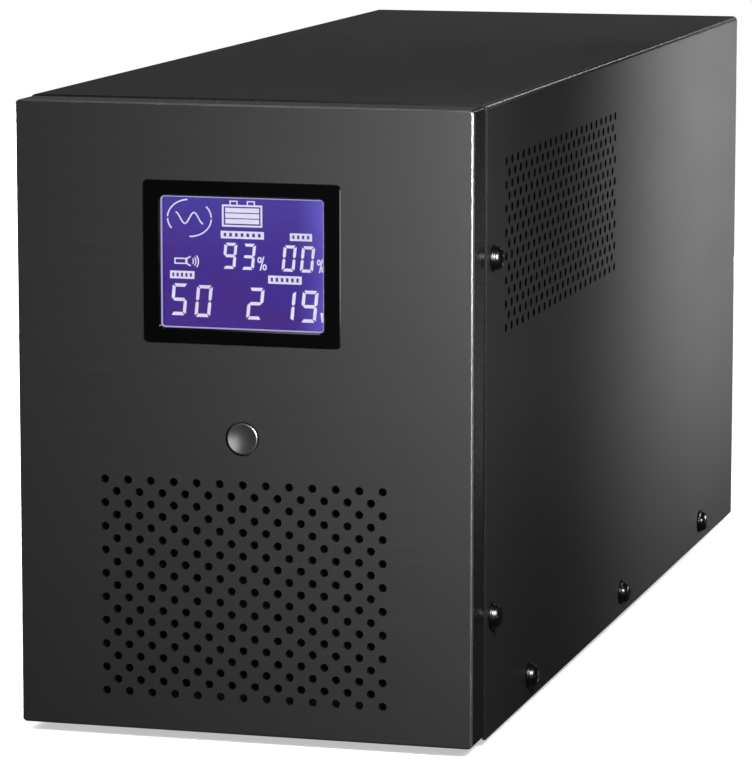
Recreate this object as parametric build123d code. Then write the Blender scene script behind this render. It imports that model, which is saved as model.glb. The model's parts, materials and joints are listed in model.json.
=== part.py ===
from build123d import *
from math import cos, pi, sin
import os

# Tower uninterruptible power supply: line-interactive, with two 12 V batteries inside.
# Millimetres. Every piece is drawn in the case frame: X to the right, Y from the fascia's
# face to the back, Z up from the floor. export() then moves it so that the origin lies on
# the floor under the middle of the whole object.

os.makedirs("parts", exist_ok=True)

# ------------------------------------------------------------------ driving dimensions
FOOT = 2.5               # height of the rubber feet under the case
FASCIA_W = 145.0         # front plate, width
FASCIA_H = 195.0         # front plate, height
PROUD = 0.4              # how far the steel cover stands outside the fascia's outline
CASE_D = 415.5           # fascia face to the back of the cover
COVER_T = 1.0            # cover sheet
SHEET_T = 1.2            # chassis, rear panel and brackets
FASCIA_T = 1.6           # front plate
BEZEL_D = 15.0           # depth of the moulded front frame behind the fascia's face
SEAM = 0.5               # open joint between the front frame and the cover
WALL_Y = 17.0            # front face of the chassis front wall
PITCH = 7.4              # vent holes, in both directions
FRONT_HOLE = 1.3         # vent hole radius, fascia
SIDE_HOLE = 1.4          # vent hole radius, cover
FRONT_VENT_GRID = (13, 10)
SIDE_VENT_GRID = (22, 8)
BUTTON_R = 4.95          # power button cap
BUTTON_TRAVEL = 2.0
RESET_TRAVEL = 3.5       # circuit breaker button, from set to tripped
BATTERY = (65.0, 151.0, 94.0)
LCD_VIEW = (51.8, 40.5)  # visible part of the display
LCD_OUTER = (62.6, 50.1)
LCD_PROUD = 0.3          # the display's frame and the button, in front of the fascia
LENS_SIZE = (54.2, 43.0)
FAN_SIZE = 80.0
FAN_D = 25.0
CORE = (114.0, 56.0, 95.0)

# ------------------------------------------------------------------ worked-out places
COVER_X = FASCIA_W / 2 + PROUD
COVER_Z1 = FOOT + FASCIA_H + 2 * PROUD
INNER_X = COVER_X - COVER_T
INNER_Z1 = COVER_Z1 - COVER_T
FASCIA_Z0 = FOOT + PROUD
FASCIA_ZC = FASCIA_Z0 + FASCIA_H / 2
COVER_Y0 = BEZEL_D + SEAM
FLOOR_Z = FOOT + SHEET_T
PANEL_Y1 = CASE_D - COVER_T
PANEL_Y0 = PANEL_Y1 - SHEET_T
BREAKER_REACH = 8.0      # breaker button behind the rear panel
Y_MIDDLE = (PANEL_Y1 + BREAKER_REACH - LCD_PROUD) / 2

LCD_Z = FASCIA_Z0 + 146.6
BUTTON_Z = FASCIA_Z0 + 92.8
FRONT_VENT_Z = FASCIA_Z0 + 45.1
SIDE_VENT_Y = 117.6
SIDE_VENT_Z = FASCIA_Z0 + 150.2
EDGE_SCREW_Z = FASCIA_Z0 + 7.6
COVER_SCREWS = [(23.2, FASCIA_Z0 + 148.1), (23.2, FASCIA_Z0 + 37.1),
                (73.0, EDGE_SCREW_Z), (211.0, EDGE_SCREW_Z), (351.0, EDGE_SCREW_Z)]
FEET = [(x, y) for x in (-52, 52) for y in (45, 375)]
BEZEL_BOSSES = [(x, z) for x in (-62, 62) for z in (20, 180)]
DISPLAY_BOSSES = [(x, z) for x in (-37, 37) for z in (89, 175)]
BOARD_BOSSES = [(x, y) for x in (-54, 54) for y in (64, 127, 190)]
LIP_SCREWS = [(x, z) for x in (5 - INNER_X, INNER_X - 5) for z in (30, 165)]
TAB_SCREWS = [(-30, 10), (30, 10)]
WEB_Y = 4.6              # back of the bezel's front web
LENS_Y = (1.0, 2.0)      # clear lens, front and back faces
CELL_Y = 2.4             # face of the liquid crystal cell, behind an air gap
STEM_Y = 5.7             # back of the power button's stem, on the plunger
SWITCH_Y = 8.0           # face of the push switch
PLUNGER_Y = 8.6          # back end of the plunger, inside the switch
DISPLAY_Y = 11.0         # front face of the display board
BOARD_T = 1.6
TRAY_Z = 112.0
BOARD_Z = TRAY_Z + SHEET_T + 8.0
PARTS_Z = BOARD_Z + BOARD_T
BATTERY_Z = FLOOR_Z + 1.0
BATTERY_Y = 36.0
LID_Z = BATTERY_Z + BATTERY[2]
BATTERY_XC = BATTERY[0] / 2 + 1.0
TAB_Y = 48.0
TAB_XS = [-54.0, -12.0, 12.0, 54.0]
CORE_Y = 290.0
CORE_TOP = FLOOR_Z + CORE[2]
FAN = (-18.0, 148.0)
FAN_Y0 = PANEL_Y0 - FAN_D
OUTLETS = [(x, z) for x in (-40, -4) for z in (52, 82)]
INLET = (50.0, 38.0)
BREAKER = (50.0, 87.0)
NECK_R = 5.5             # breaker's threaded neck
PORT_X = 60.0            # face of the vertical ports board
NETWORK_ZS = [128.0, 146.0]
USB_Z = 166.0


# ------------------------------------------------------------------ helpers
def block(x0, x1, y0, y1, z0, z1):
    """Block between two corners."""
    return Pos((x0 + x1) / 2, (y0 + y1) / 2, (z0 + z1) / 2) * Box(x1 - x0, y1 - y0, z1 - z0)


def rod_x(y, z, x0, x1, radius):
    """Round bar along X."""
    return Pos((x0 + x1) / 2, y, z) * Rot(0, 90, 0) * Cylinder(radius, x1 - x0)


def rod_y(x, z, y0, y1, radius):
    """Round bar along Y."""
    return Pos(x, (y0 + y1) / 2, z) * Rot(90, 0, 0) * Cylinder(radius, y1 - y0)


def rod_z(x, y, z0, z1, radius):
    """Round bar along Z."""
    return Pos(x, y, (z0 + z1) / 2) * Cylinder(radius, z1 - z0)


def both_sides(shape):
    """A shape and its mirror image on the other side of the middle plane."""
    return [shape, mirror(shape, Plane.YZ)]


def group(pieces):
    """Several separate solids as one node."""
    return Compound([solid for piece in pieces for solid in piece.solids()])


def export(name, shape):
    """Write one node, moved from the case frame to the object's own frame."""
    export_step(Pos(0, -Y_MIDDLE, 0) * shape, f"parts/{name}.step")


def staggered(columns, rows):
    """Hole centres about the middle: full rows, with a shorter offset row between them."""
    points = []
    for row in range(2 * rows - 1):
        odd = row % 2
        for column in range(columns - odd):
            across = (column - (columns - 1) / 2 + odd / 2) * PITCH
            points.append((across, (row - (rows - 1)) / 2 * PITCH))
    return points


def upright_plate(x, z, width, height, radius, y0, y1):
    """Plate facing Y with rounded corners, centred on x, z."""
    sketch = Plane.XZ * RectangleRounded(width, height, radius)
    return Pos(x, y1, z) * extrude(sketch, y1 - y0)


def long_edges(shape, z_low, z_high):
    """Edges along Y between two heights."""
    return [e for e in shape.edges().filter_by(Axis.Y) if z_low < e.center().Z < z_high]


def pan_screw(shank, length, head, height):
    """Flanged pan-head screw with a cross recess: head up from z = 0, shank down."""
    up = (Align.CENTER, Align.CENTER, Align.MIN)
    flange = Cylinder(head, height * 0.3, align=up)
    dome = Cylinder(head * 0.8, height, align=up)
    dome = fillet(dome.edges().sort_by(Axis.Z)[-1], height * 0.45)
    cross = Box(head, head * 0.2, height) + Box(head * 0.2, head, height)
    stem = Cylinder(shank, length, align=(Align.CENTER, Align.CENTER, Align.MAX))
    return flange + dome + stem - Pos(0, 0, height) * cross


def lead(points, bend, radius):
    """Round wire along straight runs joined by arcs of one radius."""
    path = FilletPolyline(*points, radius=bend)
    return sweep(Plane(path @ 0, z_dir=path % 0) * Circle(radius), path=path)


# ------------------------------------------------------------------ enclosure
def cover():
    """Inverted U of black sheet steel: side vents, screw holes and a rear lip."""
    outer = block(-COVER_X, COVER_X, COVER_Y0, CASE_D, FOOT, COVER_Z1)
    outer = fillet(long_edges(outer, COVER_Z1 - 1, COVER_Z1 + 1), 1.8)
    inner = block(-INNER_X, INNER_X, 0, PANEL_Y1, 0, INNER_Z1)
    inner = fillet(long_edges(inner, INNER_Z1 - 1, INNER_Z1 + 1), 0.8)
    mouth = block(10 - INNER_X, INNER_X - 10, 0, CASE_D + 1, 0, INNER_Z1 - 8)
    holes = [rod_x(y, z, -80, 80, 2.2) for y, z in COVER_SCREWS]
    for across, up in staggered(*SIDE_VENT_GRID):
        holes.append(rod_x(SIDE_VENT_Y + across, SIDE_VENT_Z + up, -80, 80, SIDE_HOLE))
    holes += [rod_y(x, z, PANEL_Y1 - 1, CASE_D + 1, 1.7) for x, z in LIP_SCREWS]
    return outer - inner - mouth - holes


def chassis():
    """Folded steel base: floor, low sides, and a front wall with an air and a display opening."""
    outer = block(-INNER_X, INNER_X, WALL_Y, PANEL_Y0, FOOT, FOOT + 18)
    outer = fillet(long_edges(outer, FOOT - 1, FOOT + 1), 1.5)
    side = INNER_X - SHEET_T
    pan = outer - block(-side, side, 0, CASE_D, FLOOR_Z, 40)
    top = INNER_Z1 - 0.5
    wall = block(-INNER_X, INNER_X, WALL_Y, WALL_Y + 15, FOOT + 5, top)
    wall = fillet(long_edges(wall, top - 1, top + 1), 1.5)
    wall -= block(-side, side, WALL_Y + SHEET_T, 40, 0, top - SHEET_T)
    tab = block(-45, 45, PANEL_Y0 - SHEET_T, PANEL_Y0, FOOT + 0.6, FLOOR_Z + 12)
    shell = pan + wall + tab
    cuts = [block(-47, 47, 0, 20, 12, 84), block(-32, 32, 0, 20, 100, 170)]
    cuts += [rod_y(x, z, 0, 20, 1.5) for x, z in BEZEL_BOSSES]
    cuts += [rod_x(y, z, -80, 80, 2.0) for y, z in COVER_SCREWS]
    cuts += [rod_y(x, z, 400, CASE_D, 1.5) for x, z in TAB_SCREWS]
    cuts += [rod_z(x, y, 0, 10, 3.0) for x, y in FEET]
    cuts += [rod_z(x, CORE_Y, 0, 10, 2.5) for x in (-64, 64)]
    return shell - cuts


def rear_panel():
    """Flat steel back with its cut-outs and two stiffening flanges."""
    plate = block(-INNER_X, INNER_X, PANEL_Y0, PANEL_Y1, FOOT, INNER_Z1)
    corners = [e for e in plate.edges().filter_by(Axis.Y) if e.center().Z > INNER_Z1 - 1]
    plate = fillet(corners, 1.2)
    for flange in both_sides(block(68.0, 68.0 + SHEET_T, 400, PANEL_Y0 + 0.1, 24, 190)):
        plate += flange
    cuts = [rod_y(*FAN, 400, CASE_D, 38)]
    cuts += [rod_y(x, z, 400, CASE_D, 2.0) for x, z in fan_corners()]
    cuts += [block(x - 14, x + 14, 400, CASE_D, z - 11, z + 11) for x, z in OUTLETS]
    cuts.append(block(INLET[0] - 10, INLET[0] + 10, 400, CASE_D, INLET[1] - 14, INLET[1] + 14))
    cuts += [rod_y(INLET[0], INLET[1] + z, 400, CASE_D, 1.5) for z in (-20, 20)]
    cuts.append(rod_y(*BREAKER, 400, CASE_D, NECK_R + 0.1))
    cuts += [block(46.4, 60, 400, CASE_D, z - 8.1, z + 8.1) for z in NETWORK_ZS]
    cuts.append(block(48.9, 60, 400, CASE_D, USB_Z - 6.1, USB_Z + 6.1))
    cuts += [rod_y(x, z, 400, CASE_D, 1.5) for x, z in LIP_SCREWS + TAB_SCREWS]
    cuts += [block(x - 1.5, x + 1.5, 400, CASE_D, 20, 35) for x in range(-52, 25, 8)]
    return plate - cuts


def fascia():
    """Brushed front plate with the display opening, button hole and air holes."""
    plate = upright_plate(0, FASCIA_ZC, FASCIA_W, FASCIA_H, 1.5, 0, FASCIA_T)
    rim = [e for e in plate.edges() if abs(e.center().Y) < 0.01]
    plate = fillet(rim, 0.8)
    holes = [upright_plate(0, LCD_Z, *LCD_OUTER, 1.5, -1, 3)]
    holes.append(rod_y(0, BUTTON_Z, -1, 3, BUTTON_R + 0.45))
    for across, up in staggered(*FRONT_VENT_GRID):
        holes.append(rod_y(across, FRONT_VENT_Z + up, -1, 3, FRONT_HOLE))
    return plate - holes


def front_bezel():
    """Moulded frame behind the fascia: side band, web, button guide, bosses and tongue."""
    pad = upright_plate(0, FASCIA_ZC, FASCIA_W - 2.4, FASCIA_H - 2.4, 0.8, FASCIA_T, 2.6)
    band = upright_plate(0, FASCIA_ZC, FASCIA_W, FASCIA_H, 1.5, 2.6, BEZEL_D)
    tongue = upright_plate(0, FASCIA_ZC, FASCIA_W - 2.4, FASCIA_H - 2.4, 0.8, BEZEL_D, WALL_Y)
    hollow = upright_plate(0, FASCIA_ZC, FASCIA_W - 6, FASCIA_H - 6, 0.8, WEB_Y, WALL_Y + 1)
    shell = pad + band + tongue - hollow
    guide = rod_y(0, BUTTON_Z, WEB_Y - 0.5, 7.6, 8.2)
    bosses = [rod_y(x, z, WEB_Y - 0.5, WALL_Y, 4) for x, z in BEZEL_BOSSES]
    bosses += [rod_y(x, z, WEB_Y - 0.5, DISPLAY_Y, 3) for x, z in DISPLAY_BOSSES]
    shell = shell + guide + bosses
    cuts = [rod_y(0, BUTTON_Z, 0, 9, 6.6)]
    cuts.append(block(-30.1, 30.1, 0, 6, LCD_Z - 24.1, LCD_Z + 24.1))
    cuts.append(block(-48, 48, 0, 6, FRONT_VENT_Z - 37, FRONT_VENT_Z + 37))
    cuts += [rod_y(x, z, 8, WALL_Y + 1, 1.5) for x, z in BEZEL_BOSSES]
    cuts += [rod_y(x, z, 6, DISPLAY_Y + 1, 1.25) for x, z in DISPLAY_BOSSES]
    return shell - cuts


def rubber_foot(x, y):
    """Round foot with a plug that is pushed through the floor."""
    pad = rod_z(x, y, 0, FOOT, 8)
    pad = chamfer(pad.edges().sort_by(Axis.Z)[0], 0.8)
    return pad + rod_z(x, y, FOOT, FLOOR_Z, 2.9) + rod_z(x, y, FLOOR_Z, FLOOR_Z + 1, 4.0)


def cover_screws():
    """Five M4 screws on each side."""
    screw = pan_screw(2.0, 6.0, 4.25, 2.6)
    right = [Pos(COVER_X, y, z) * Rot(0, 90, 0) * screw for y, z in COVER_SCREWS]
    left = [Pos(-COVER_X, y, z) * Rot(0, -90, 0) * screw for y, z in COVER_SCREWS]
    return group(right + left)


def rear_screws():
    """M3 screws through the rear panel: cover lip, chassis tab and mains inlet."""
    screw = pan_screw(1.5, 5.0, 3.0, 2.0)
    places = [(x, CASE_D, z) for x, z in LIP_SCREWS]
    places += [(x, PANEL_Y1, z) for x, z in TAB_SCREWS]
    places += [(INLET[0], PANEL_Y1 + 3, INLET[1] + z) for z in (-20, 20)]
    return group([Pos(*place) * Rot(-90, 0, 0) * screw for place in places])


def bezel_screws():
    """M3 screws from inside the front wall into the bezel's bosses."""
    screw = pan_screw(1.5, 8.0, 3.0, 2.0)
    y = WALL_Y + SHEET_T
    return group([Pos(x, y, z) * Rot(-90, 0, 0) * screw for x, z in BEZEL_BOSSES])


# ------------------------------------------------------------------ display and button
def lcd_frame():
    """Gloss black window frame with a collar that passes through the bezel's web."""
    face = upright_plate(0, LCD_Z, *LCD_OUTER, 1.5, -LCD_PROUD, FASCIA_T)
    face = chamfer([e for e in face.edges() if abs(e.center().Y + LCD_PROUD) < 0.01], 0.25)
    collar = upright_plate(0, LCD_Z, 60.0, 48.0, 0.5, FASCIA_T - 0.2, WEB_Y)
    frame = face + collar - upright_plate(0, LCD_Z, *LCD_VIEW, 1.2, -1, 6)
    inner = [e for e in frame.edges() if abs(e.center().Y + LCD_PROUD) < 0.01
             and abs(e.center().X) < LCD_VIEW[0] / 2 + 0.1
             and abs(e.center().Z - LCD_Z) < LCD_VIEW[1] / 2 + 0.1]
    frame = chamfer(inner, 0.5)
    wide, high = LENS_SIZE
    return frame - upright_plate(0, LCD_Z, wide + 0.2, high + 0.2, 0.8, LENS_Y[0], 6)


def lcd_window():
    """Clear lens in the frame's pocket."""
    return upright_plate(0, LCD_Z, *LENS_SIZE, 0.7, *LENS_Y)


def lcd_glass():
    """Liquid crystal cell behind the lens."""
    return upright_plate(0, LCD_Z, *LENS_SIZE, 0.7, CELL_Y, WEB_Y)


def lcd_backlight():
    """Light guide in its housing, between the cell and the display board."""
    body = upright_plate(0, LCD_Z, 60.0, 48.0, 1.0, WEB_Y, 9.6)
    pins = [rod_y(3 * i, LCD_Z + z, 9.5, DISPLAY_Y, 0.4) for i in range(-8, 9) for z in (-20, 20)]
    return body + pins


def display_board():
    """Circuit board that carries the display and the power switch."""
    board = block(-42, 42, DISPLAY_Y, DISPLAY_Y + BOARD_T, 83, 181)
    chip = block(-24, -10, DISPLAY_Y + BOARD_T, DISPLAY_Y + BOARD_T + 1.6, 140, 154)
    header = block(-9, 9, DISPLAY_Y + BOARD_T, DISPLAY_Y + BOARD_T + 3, 128.5, 134)
    return board + chip + header - [rod_y(x, z, 10, 14, 1.25) for x, z in DISPLAY_BOSSES]


def power_button():
    """Dished cap with a retaining flange and a stem."""
    cap = rod_y(0, BUTTON_Z, -LCD_PROUD, 2.3, BUTTON_R)
    rim = [e for e in cap.edges() if abs(e.center().Y + LCD_PROUD) < 0.01]
    cap = fillet(rim, 0.45)
    dish = Pos(0, -LCD_PROUD - 16.4, BUTTON_Z) * Sphere(17.0)
    flange = rod_y(0, BUTTON_Z, 2.3, 3.3, 6.2)
    stem = rod_y(0, BUTTON_Z, 3.3, STEM_Y, 2.0)
    return cap + flange + stem - dish


def button_spring():
    """Return spring between the button's flange and the switch."""
    coil = Helix(pitch=1.05, height=4.2, radius=3.2)
    wire = sweep(Plane(coil @ 0, z_dir=coil % 0) * Circle(0.22), path=coil)
    return Pos(0, 3.55, BUTTON_Z) * Rot(-90, 0, 0) * wire


def power_switch():
    """Housing of the push switch on the display board."""
    half = 4.25
    housing = block(-half, half, SWITCH_Y, DISPLAY_Y, BUTTON_Z - half, BUTTON_Z + half)
    return housing - rod_y(0, BUTTON_Z, 7, PLUNGER_Y + BUTTON_TRAVEL + 0.2, 1.65)


def switch_plunger():
    """Plunger of the push switch, fixed to the button's stem."""
    return rod_y(0, BUTTON_Z, STEM_Y, PLUNGER_Y, 1.6)


# ------------------------------------------------------------------ batteries
def battery(x):
    """Sealed battery: case, stepped lid and valve strip."""
    wide, long, tall = BATTERY
    y0, y1 = BATTERY_Y, BATTERY_Y + long
    case = block(x - wide / 2, x + wide / 2, y0, y1, BATTERY_Z, LID_Z - 9)
    case = fillet(case.edges().filter_by(Axis.Z), 2.0)
    lid = block(x - wide / 2 + 1, x + wide / 2 - 1, y0 + 1, y1 - 1, LID_Z - 9, LID_Z - 1)
    lid = fillet(lid.edges().filter_by(Axis.Z), 2.0)
    strip = block(x - 14, x + 14, y0 + 30, y1 - 10, LID_Z - 1, LID_Z)
    return case + lid + strip


def battery_terminals():
    """Upright spade tabs on the lids."""
    return group([block(x - 3.15, x + 3.15, TAB_Y - 0.4, TAB_Y + 0.4, LID_Z - 1, LID_Z + 7)
                  for x in TAB_XS])


def spade_connectors():
    """Insulated push-on connectors over the tabs."""
    pieces = []
    for x in TAB_XS:
        boot = block(x - 4.4, x + 4.4, TAB_Y - 1.8, TAB_Y + 1.8, LID_Z + 0.5, LID_Z + 9)
        pieces.append(boot - block(x - 3.15, x + 3.15, TAB_Y - 0.4, TAB_Y + 0.4, 90, LID_Z + 7))
    return group(pieces)


def battery_pads():
    """Foam strips under the batteries and between their lids and the tray."""
    pads = []
    for x in (-BATTERY_XC, BATTERY_XC):
        pads.append(block(x - 28, x + 28, BATTERY_Y + 16, BATTERY_Y + 146, FLOOR_Z, BATTERY_Z))
        pads.append(block(x - 10, x + 10, BATTERY_Y + 40, BATTERY_Y + 130, LID_Z, TRAY_Z))
    return group(pads)


def black_battery_leads():
    """Link between the two batteries, and the negative lead to the board."""
    y, z = TAB_Y - 1.8, LID_Z + 5
    link = lead([(-12, y, z), (-12, y - 10, z), (12, y - 10, z), (12, y, z)], 5, 1.9)
    return group([link, battery_lead(TAB_XS[0])])


def battery_lead(x):
    """Lead from a tab forward, up past the tray and back to the board's front edge."""
    y, z, high = TAB_Y - 1.8, LID_Z + 5, PARTS_Z + 6
    return lead([(x, y, z), (x, 30, z), (x, 30, high), (x, 47, high)], 8, 1.9)


# ------------------------------------------------------------------ electronics
def board_tray():
    """Steel bridge over the batteries that carries the main board."""
    side = INNER_X - SHEET_T
    bridge = block(-side, side, BATTERY_Y + 4, 205, FLOOR_Z + 1, TRAY_Z + SHEET_T)
    bridge -= block(SHEET_T - side, side - SHEET_T, 0, 300, 0, TRAY_Z)
    cuts = [block(-80, 80, 95, 150, 20, 95)]
    cuts += [rod_x(y, z, -80, 80, 2.0) for y, z in COVER_SCREWS[2:3]]
    cuts += [rod_z(x, y, TRAY_Z - 1, TRAY_Z + 3, 1.5) for x, y in BOARD_BOSSES]
    return bridge - cuts


def board_standoffs():
    """Threaded pillars between the tray and the board."""
    return group([rod_z(x, y, TRAY_Z + SHEET_T, BOARD_Z, 3) - rod_z(x, y, 100, 140, 1.5)
                  for x, y in BOARD_BOSSES])


def board_screws():
    """Small screws that hold the main board and the display board."""
    long_screw = pan_screw(1.5, 6.0, 2.8, 1.9)
    short_screw = pan_screw(1.25, 5.0, 2.4, 1.6)
    top = [Pos(x, y, PARTS_Z) * long_screw for x, y in BOARD_BOSSES]
    back = DISPLAY_Y + BOARD_T
    front = [Pos(x, back, z) * Rot(-90, 0, 0) * short_screw for x, z in DISPLAY_BOSSES]
    return group(top + front)


def main_board():
    """Power and control board, with its control chips soldered on."""
    board = block(-60, 60, 46, 196, BOARD_Z, PARTS_Z)
    chips = [block(-8, 8, 148, 164, PARTS_Z, PARTS_Z + 2), block(12, 22, 60, 66, PARTS_Z,
                                                                PARTS_Z + 2)]
    return board + chips - [rod_z(x, y, 110, 130, 1.5) for x, y in BOARD_BOSSES]


def heat_sinks():
    """Two finned aluminium extrusions along the board."""
    base = block(28, 31, 64, 146, PARTS_Z, PARTS_Z + 46)
    fins = [block(30.5, 46, 64, 146, PARTS_Z + 3 + 6 * i, PARTS_Z + 4.4 + 6 * i)
            for i in range(8)]
    return group(both_sides(base + fins))


def power_transistors():
    """Four transistors on each heat sink, with their legs."""
    pieces = []
    for i in range(4):
        y = 74 + 20 * i
        body = block(23.5, 28, y - 5, y + 5, PARTS_Z + 6, PARTS_Z + 22)
        legs = [block(25.3, 26.1, y + leg - 0.5, y + leg + 0.5, PARTS_Z, PARTS_Z + 6.2)
                for leg in (-2.5, 0, 2.5)]
        pieces += both_sides(body + legs)
    return group(pieces)


def relays():
    """Four sealed relays at the back of the board."""
    pieces = []
    for x in (-42, -24, 24, 42):
        body = block(x - 7.5, x + 7.5, 154, 173, PARTS_Z, PARTS_Z + 15.5)
        pieces.append(fillet(body.edges().filter_by(Axis.Z), 1.0))
    return group(pieces)


def capacitors():
    """Four electrolytic capacitors down the middle of the board."""
    pieces = []
    for y in (76, 96, 116, 136):
        can = rod_z(0, y, PARTS_Z, PARTS_Z + 30, 8)
        neck = rod_z(0, y, PARTS_Z + 3, PARTS_Z + 4, 12) - rod_z(0, y, 100, 200, 7.3)
        pieces.append(fillet((can - neck).edges().sort_by(Axis.Z)[-1], 1.0))
    return group(pieces)


def board_fuses():
    """Two blade fuses in their holders."""
    return group([block(x - 3, x + 3, 46.5, 62.5, PARTS_Z, PARTS_Z + 9) +
                  block(x - 2, x + 2, 47.5, 61.5, PARTS_Z + 9, PARTS_Z + 15) for x in (-33, 33)])


def board_connectors():
    """Plug-in connectors along the front and back edges of the board."""
    front = block(41, 57, 47, 57, PARTS_Z, PARTS_Z + 11)
    ribbon = block(-9, 9, 46, 52, PARTS_Z, PARTS_Z + 7)
    back = [block(x - half, x + half, 182, 195, PARTS_Z, PARTS_Z + 10)
            for x, half in ((-40, 8), (0, 19), (42, 8))]
    return group(both_sides(front) + [ribbon] + back)


def buzzer():
    """Sounder can with its top hole."""
    return rod_z(-18, 60, PARTS_Z, PARTS_Z + 9, 6) - rod_z(-18, 60, PARTS_Z + 3, 200, 1.0)


# ------------------------------------------------------------------ transformer
def transformer_core():
    """Laminated core with its two windows."""
    wide, deep, tall = CORE
    core = block(-wide / 2, wide / 2, CORE_Y - deep / 2, CORE_Y + deep / 2, FLOOR_Z, CORE_TOP)
    window = block(wide / 6, wide / 3, CORE_Y - 50, CORE_Y + 50, FLOOR_Z + 19, CORE_TOP - 19)
    return core - both_sides(window)


def transformer_bobbin():
    """Nylon former round the middle leg, with its end flanges."""
    z0, z1 = FLOOR_Z + 19, CORE_TOP - 19
    tube = block(-20.5, 20.5, CORE_Y - 30, CORE_Y + 30, z0, z1)
    ends = [block(-38, 38, CORE_Y - 46, CORE_Y + 46, z, z + 2) for z in (z0, z1 - 2)]
    return tube + ends - block(-19, 19, CORE_Y - 28, CORE_Y + 28, 0, 200)


def transformer_winding():
    """Copper winding between the former's flanges."""
    z0, z1 = FLOOR_Z + 21, CORE_TOP - 21
    coil = block(-37, 37, CORE_Y - 45, CORE_Y + 45, z0, z1)
    coil = fillet(coil.edges().filter_by(Axis.Z), 10)
    return coil - block(-20.5, 20.5, CORE_Y - 30, CORE_Y + 30, 0, 200)


def transformer_bracket():
    """Channel strap over the core, with a foot on each side."""
    x = CORE[0] / 2
    strap = block(-x - 2, x + 2, CORE_Y - 16, CORE_Y + 16, FLOOR_Z, CORE_TOP + 2)
    strap -= block(-x, x, 0, 400, 0, CORE_TOP)
    for foot in both_sides(block(x + 1, x + 12, CORE_Y - 16, CORE_Y + 16, FLOOR_Z, FLOOR_Z + 2)):
        strap += foot
    return strap - [rod_z(side, CORE_Y, 0, 20, 2.5) for side in (-64, 64)]


def transformer_bolts():
    """M5 bolts through the strap's feet into the floor."""
    head = RegularPolygon(4.0, 6, major_radius=False)
    bolt = extrude(head, 3.5) + Pos(0, 0, -1.6) * Cylinder(2.5, 3.2)
    return group([Pos(x, CORE_Y, FLOOR_Z + 2) * bolt for x in (-64, 64)])


def power_leads():
    """Insulated leads from the transformer, the mains inlet and the outlets to the board."""
    high, back = PARTS_Z + 6, 195
    front = CORE_Y - 45
    leads = [lead([(x, front, 60), (x, front - 20, 60), (x, front - 20, high), (x, back, high)],
                  8, 1.6) for x in (-12, 0, 12)]
    for z in (INLET[1] - 7, INLET[1] + 7):
        x = 40 + (z - INLET[1]) / 3.5
        leads.append(lead([(46.6, 378, z), (46.6, 362, z), (x, 352, z + 14), (x, 352, high),
                           (x, back, high)], 6, 1.4))
    for x in (-43, -37):
        leads.append(lead([(x, 386, 67), (x, 365, 67), (x, 365, high), (x, back, high)], 8, 1.4))
    return group(leads)


# ------------------------------------------------------------------ fan
def fan_corners():
    """Centres of the fan's four fixing holes."""
    half = FAN_SIZE / 2 - 4.25
    return [(FAN[0] + x, FAN[1] + z) for x in (-half, half) for z in (-half, half)]


def fan_frame():
    """Square duct with four struts that carry the motor plate and bearing tube."""
    frame = upright_plate(*FAN, FAN_SIZE, FAN_SIZE, 4, FAN_Y0, PANEL_Y0)
    frame -= rod_y(*FAN, FAN_Y0 - 1, PANEL_Y0 + 1, FAN_SIZE / 2 - 2)
    waist = upright_plate(*FAN, FAN_SIZE + 2, FAN_SIZE + 2, 4, FAN_Y0 + 5, PANEL_Y0 - 5)
    frame -= waist - rod_y(*FAN, FAN_Y0, PANEL_Y0, FAN_SIZE / 2 - 0.5)
    strut = block(-2, 2, PANEL_Y0 - 3.5, PANEL_Y0, 14, FAN_SIZE / 2 - 1)
    for turn in range(4):
        frame += Pos(FAN[0], 0, FAN[1]) * Rot(0, 45 + 90 * turn, 0) * strut
    frame += rod_y(*FAN, PANEL_Y0 - 3.5, PANEL_Y0, 16.5)
    frame += rod_y(*FAN, FAN_Y0 + 6, PANEL_Y0 - 3, 4)
    frame -= rod_y(*FAN, FAN_Y0 + 5, PANEL_Y0 - 2, 2.5)
    return frame - [rod_y(x, z, 380, CASE_D, 2.1) for x, z in fan_corners()]


def fan_bearing():
    """Sintered sleeve pressed into the bearing tube."""
    sleeve = rod_y(*FAN, FAN_Y0 + 7, PANEL_Y0 - 3, 2.5)
    return sleeve - rod_y(*FAN, FAN_Y0, PANEL_Y0, 1.53)


def fan_stator():
    """Stator laminations with four wound poles round the bearing tube."""
    y0, y1 = FAN_Y0 + 8, PANEL_Y0 - 6
    ring = rod_y(*FAN, y0, y1, 7) + rod_y(*FAN, y0 + 2, y1 - 2, 12)
    slots = [Pos(FAN[0], 0, FAN[1]) * Rot(0, 45 + 90 * i, 0) * block(-1, 1, y0, y1, 5.5, 14)
             for i in range(4)]
    return ring - slots - rod_y(*FAN, 380, CASE_D, 4.05)


def fan_rotor():
    """Hub cup, shaft and seven curved blades."""
    y0, y1 = FAN_Y0 + 2, FAN_Y0 + 19
    hub = rod_y(*FAN, y0, y1, 16)
    hub = fillet([e for e in hub.edges() if abs(e.center().Y - y0) < 0.01], 1.2)
    hub -= rod_y(*FAN, y0 + 2, y1 + 1, 14.5)
    shaft = rod_y(*FAN, y0 + 1.5, PANEL_Y0 - 4, 1.5)
    tips = rod_y(*FAN, y0, y1, FAN_SIZE / 2 - 3.2) - rod_y(*FAN, y0, y1, 15.2)
    arc = ThreePointArc((-9, -7), (1.5, -2.5), (9, 7))
    section = make_face(offset(arc, 0.75))
    blade = Pos(0, (y0 + y1) / 2, 0) * extrude(section, FAN_SIZE / 2)
    blades = [Pos(FAN[0], 0, FAN[1]) * Rot(0, 360 / 7 * i, 0) * blade for i in range(7)]
    rotor = hub + shaft
    for piece in blades:
        rotor += piece & tips
    return rotor


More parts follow.
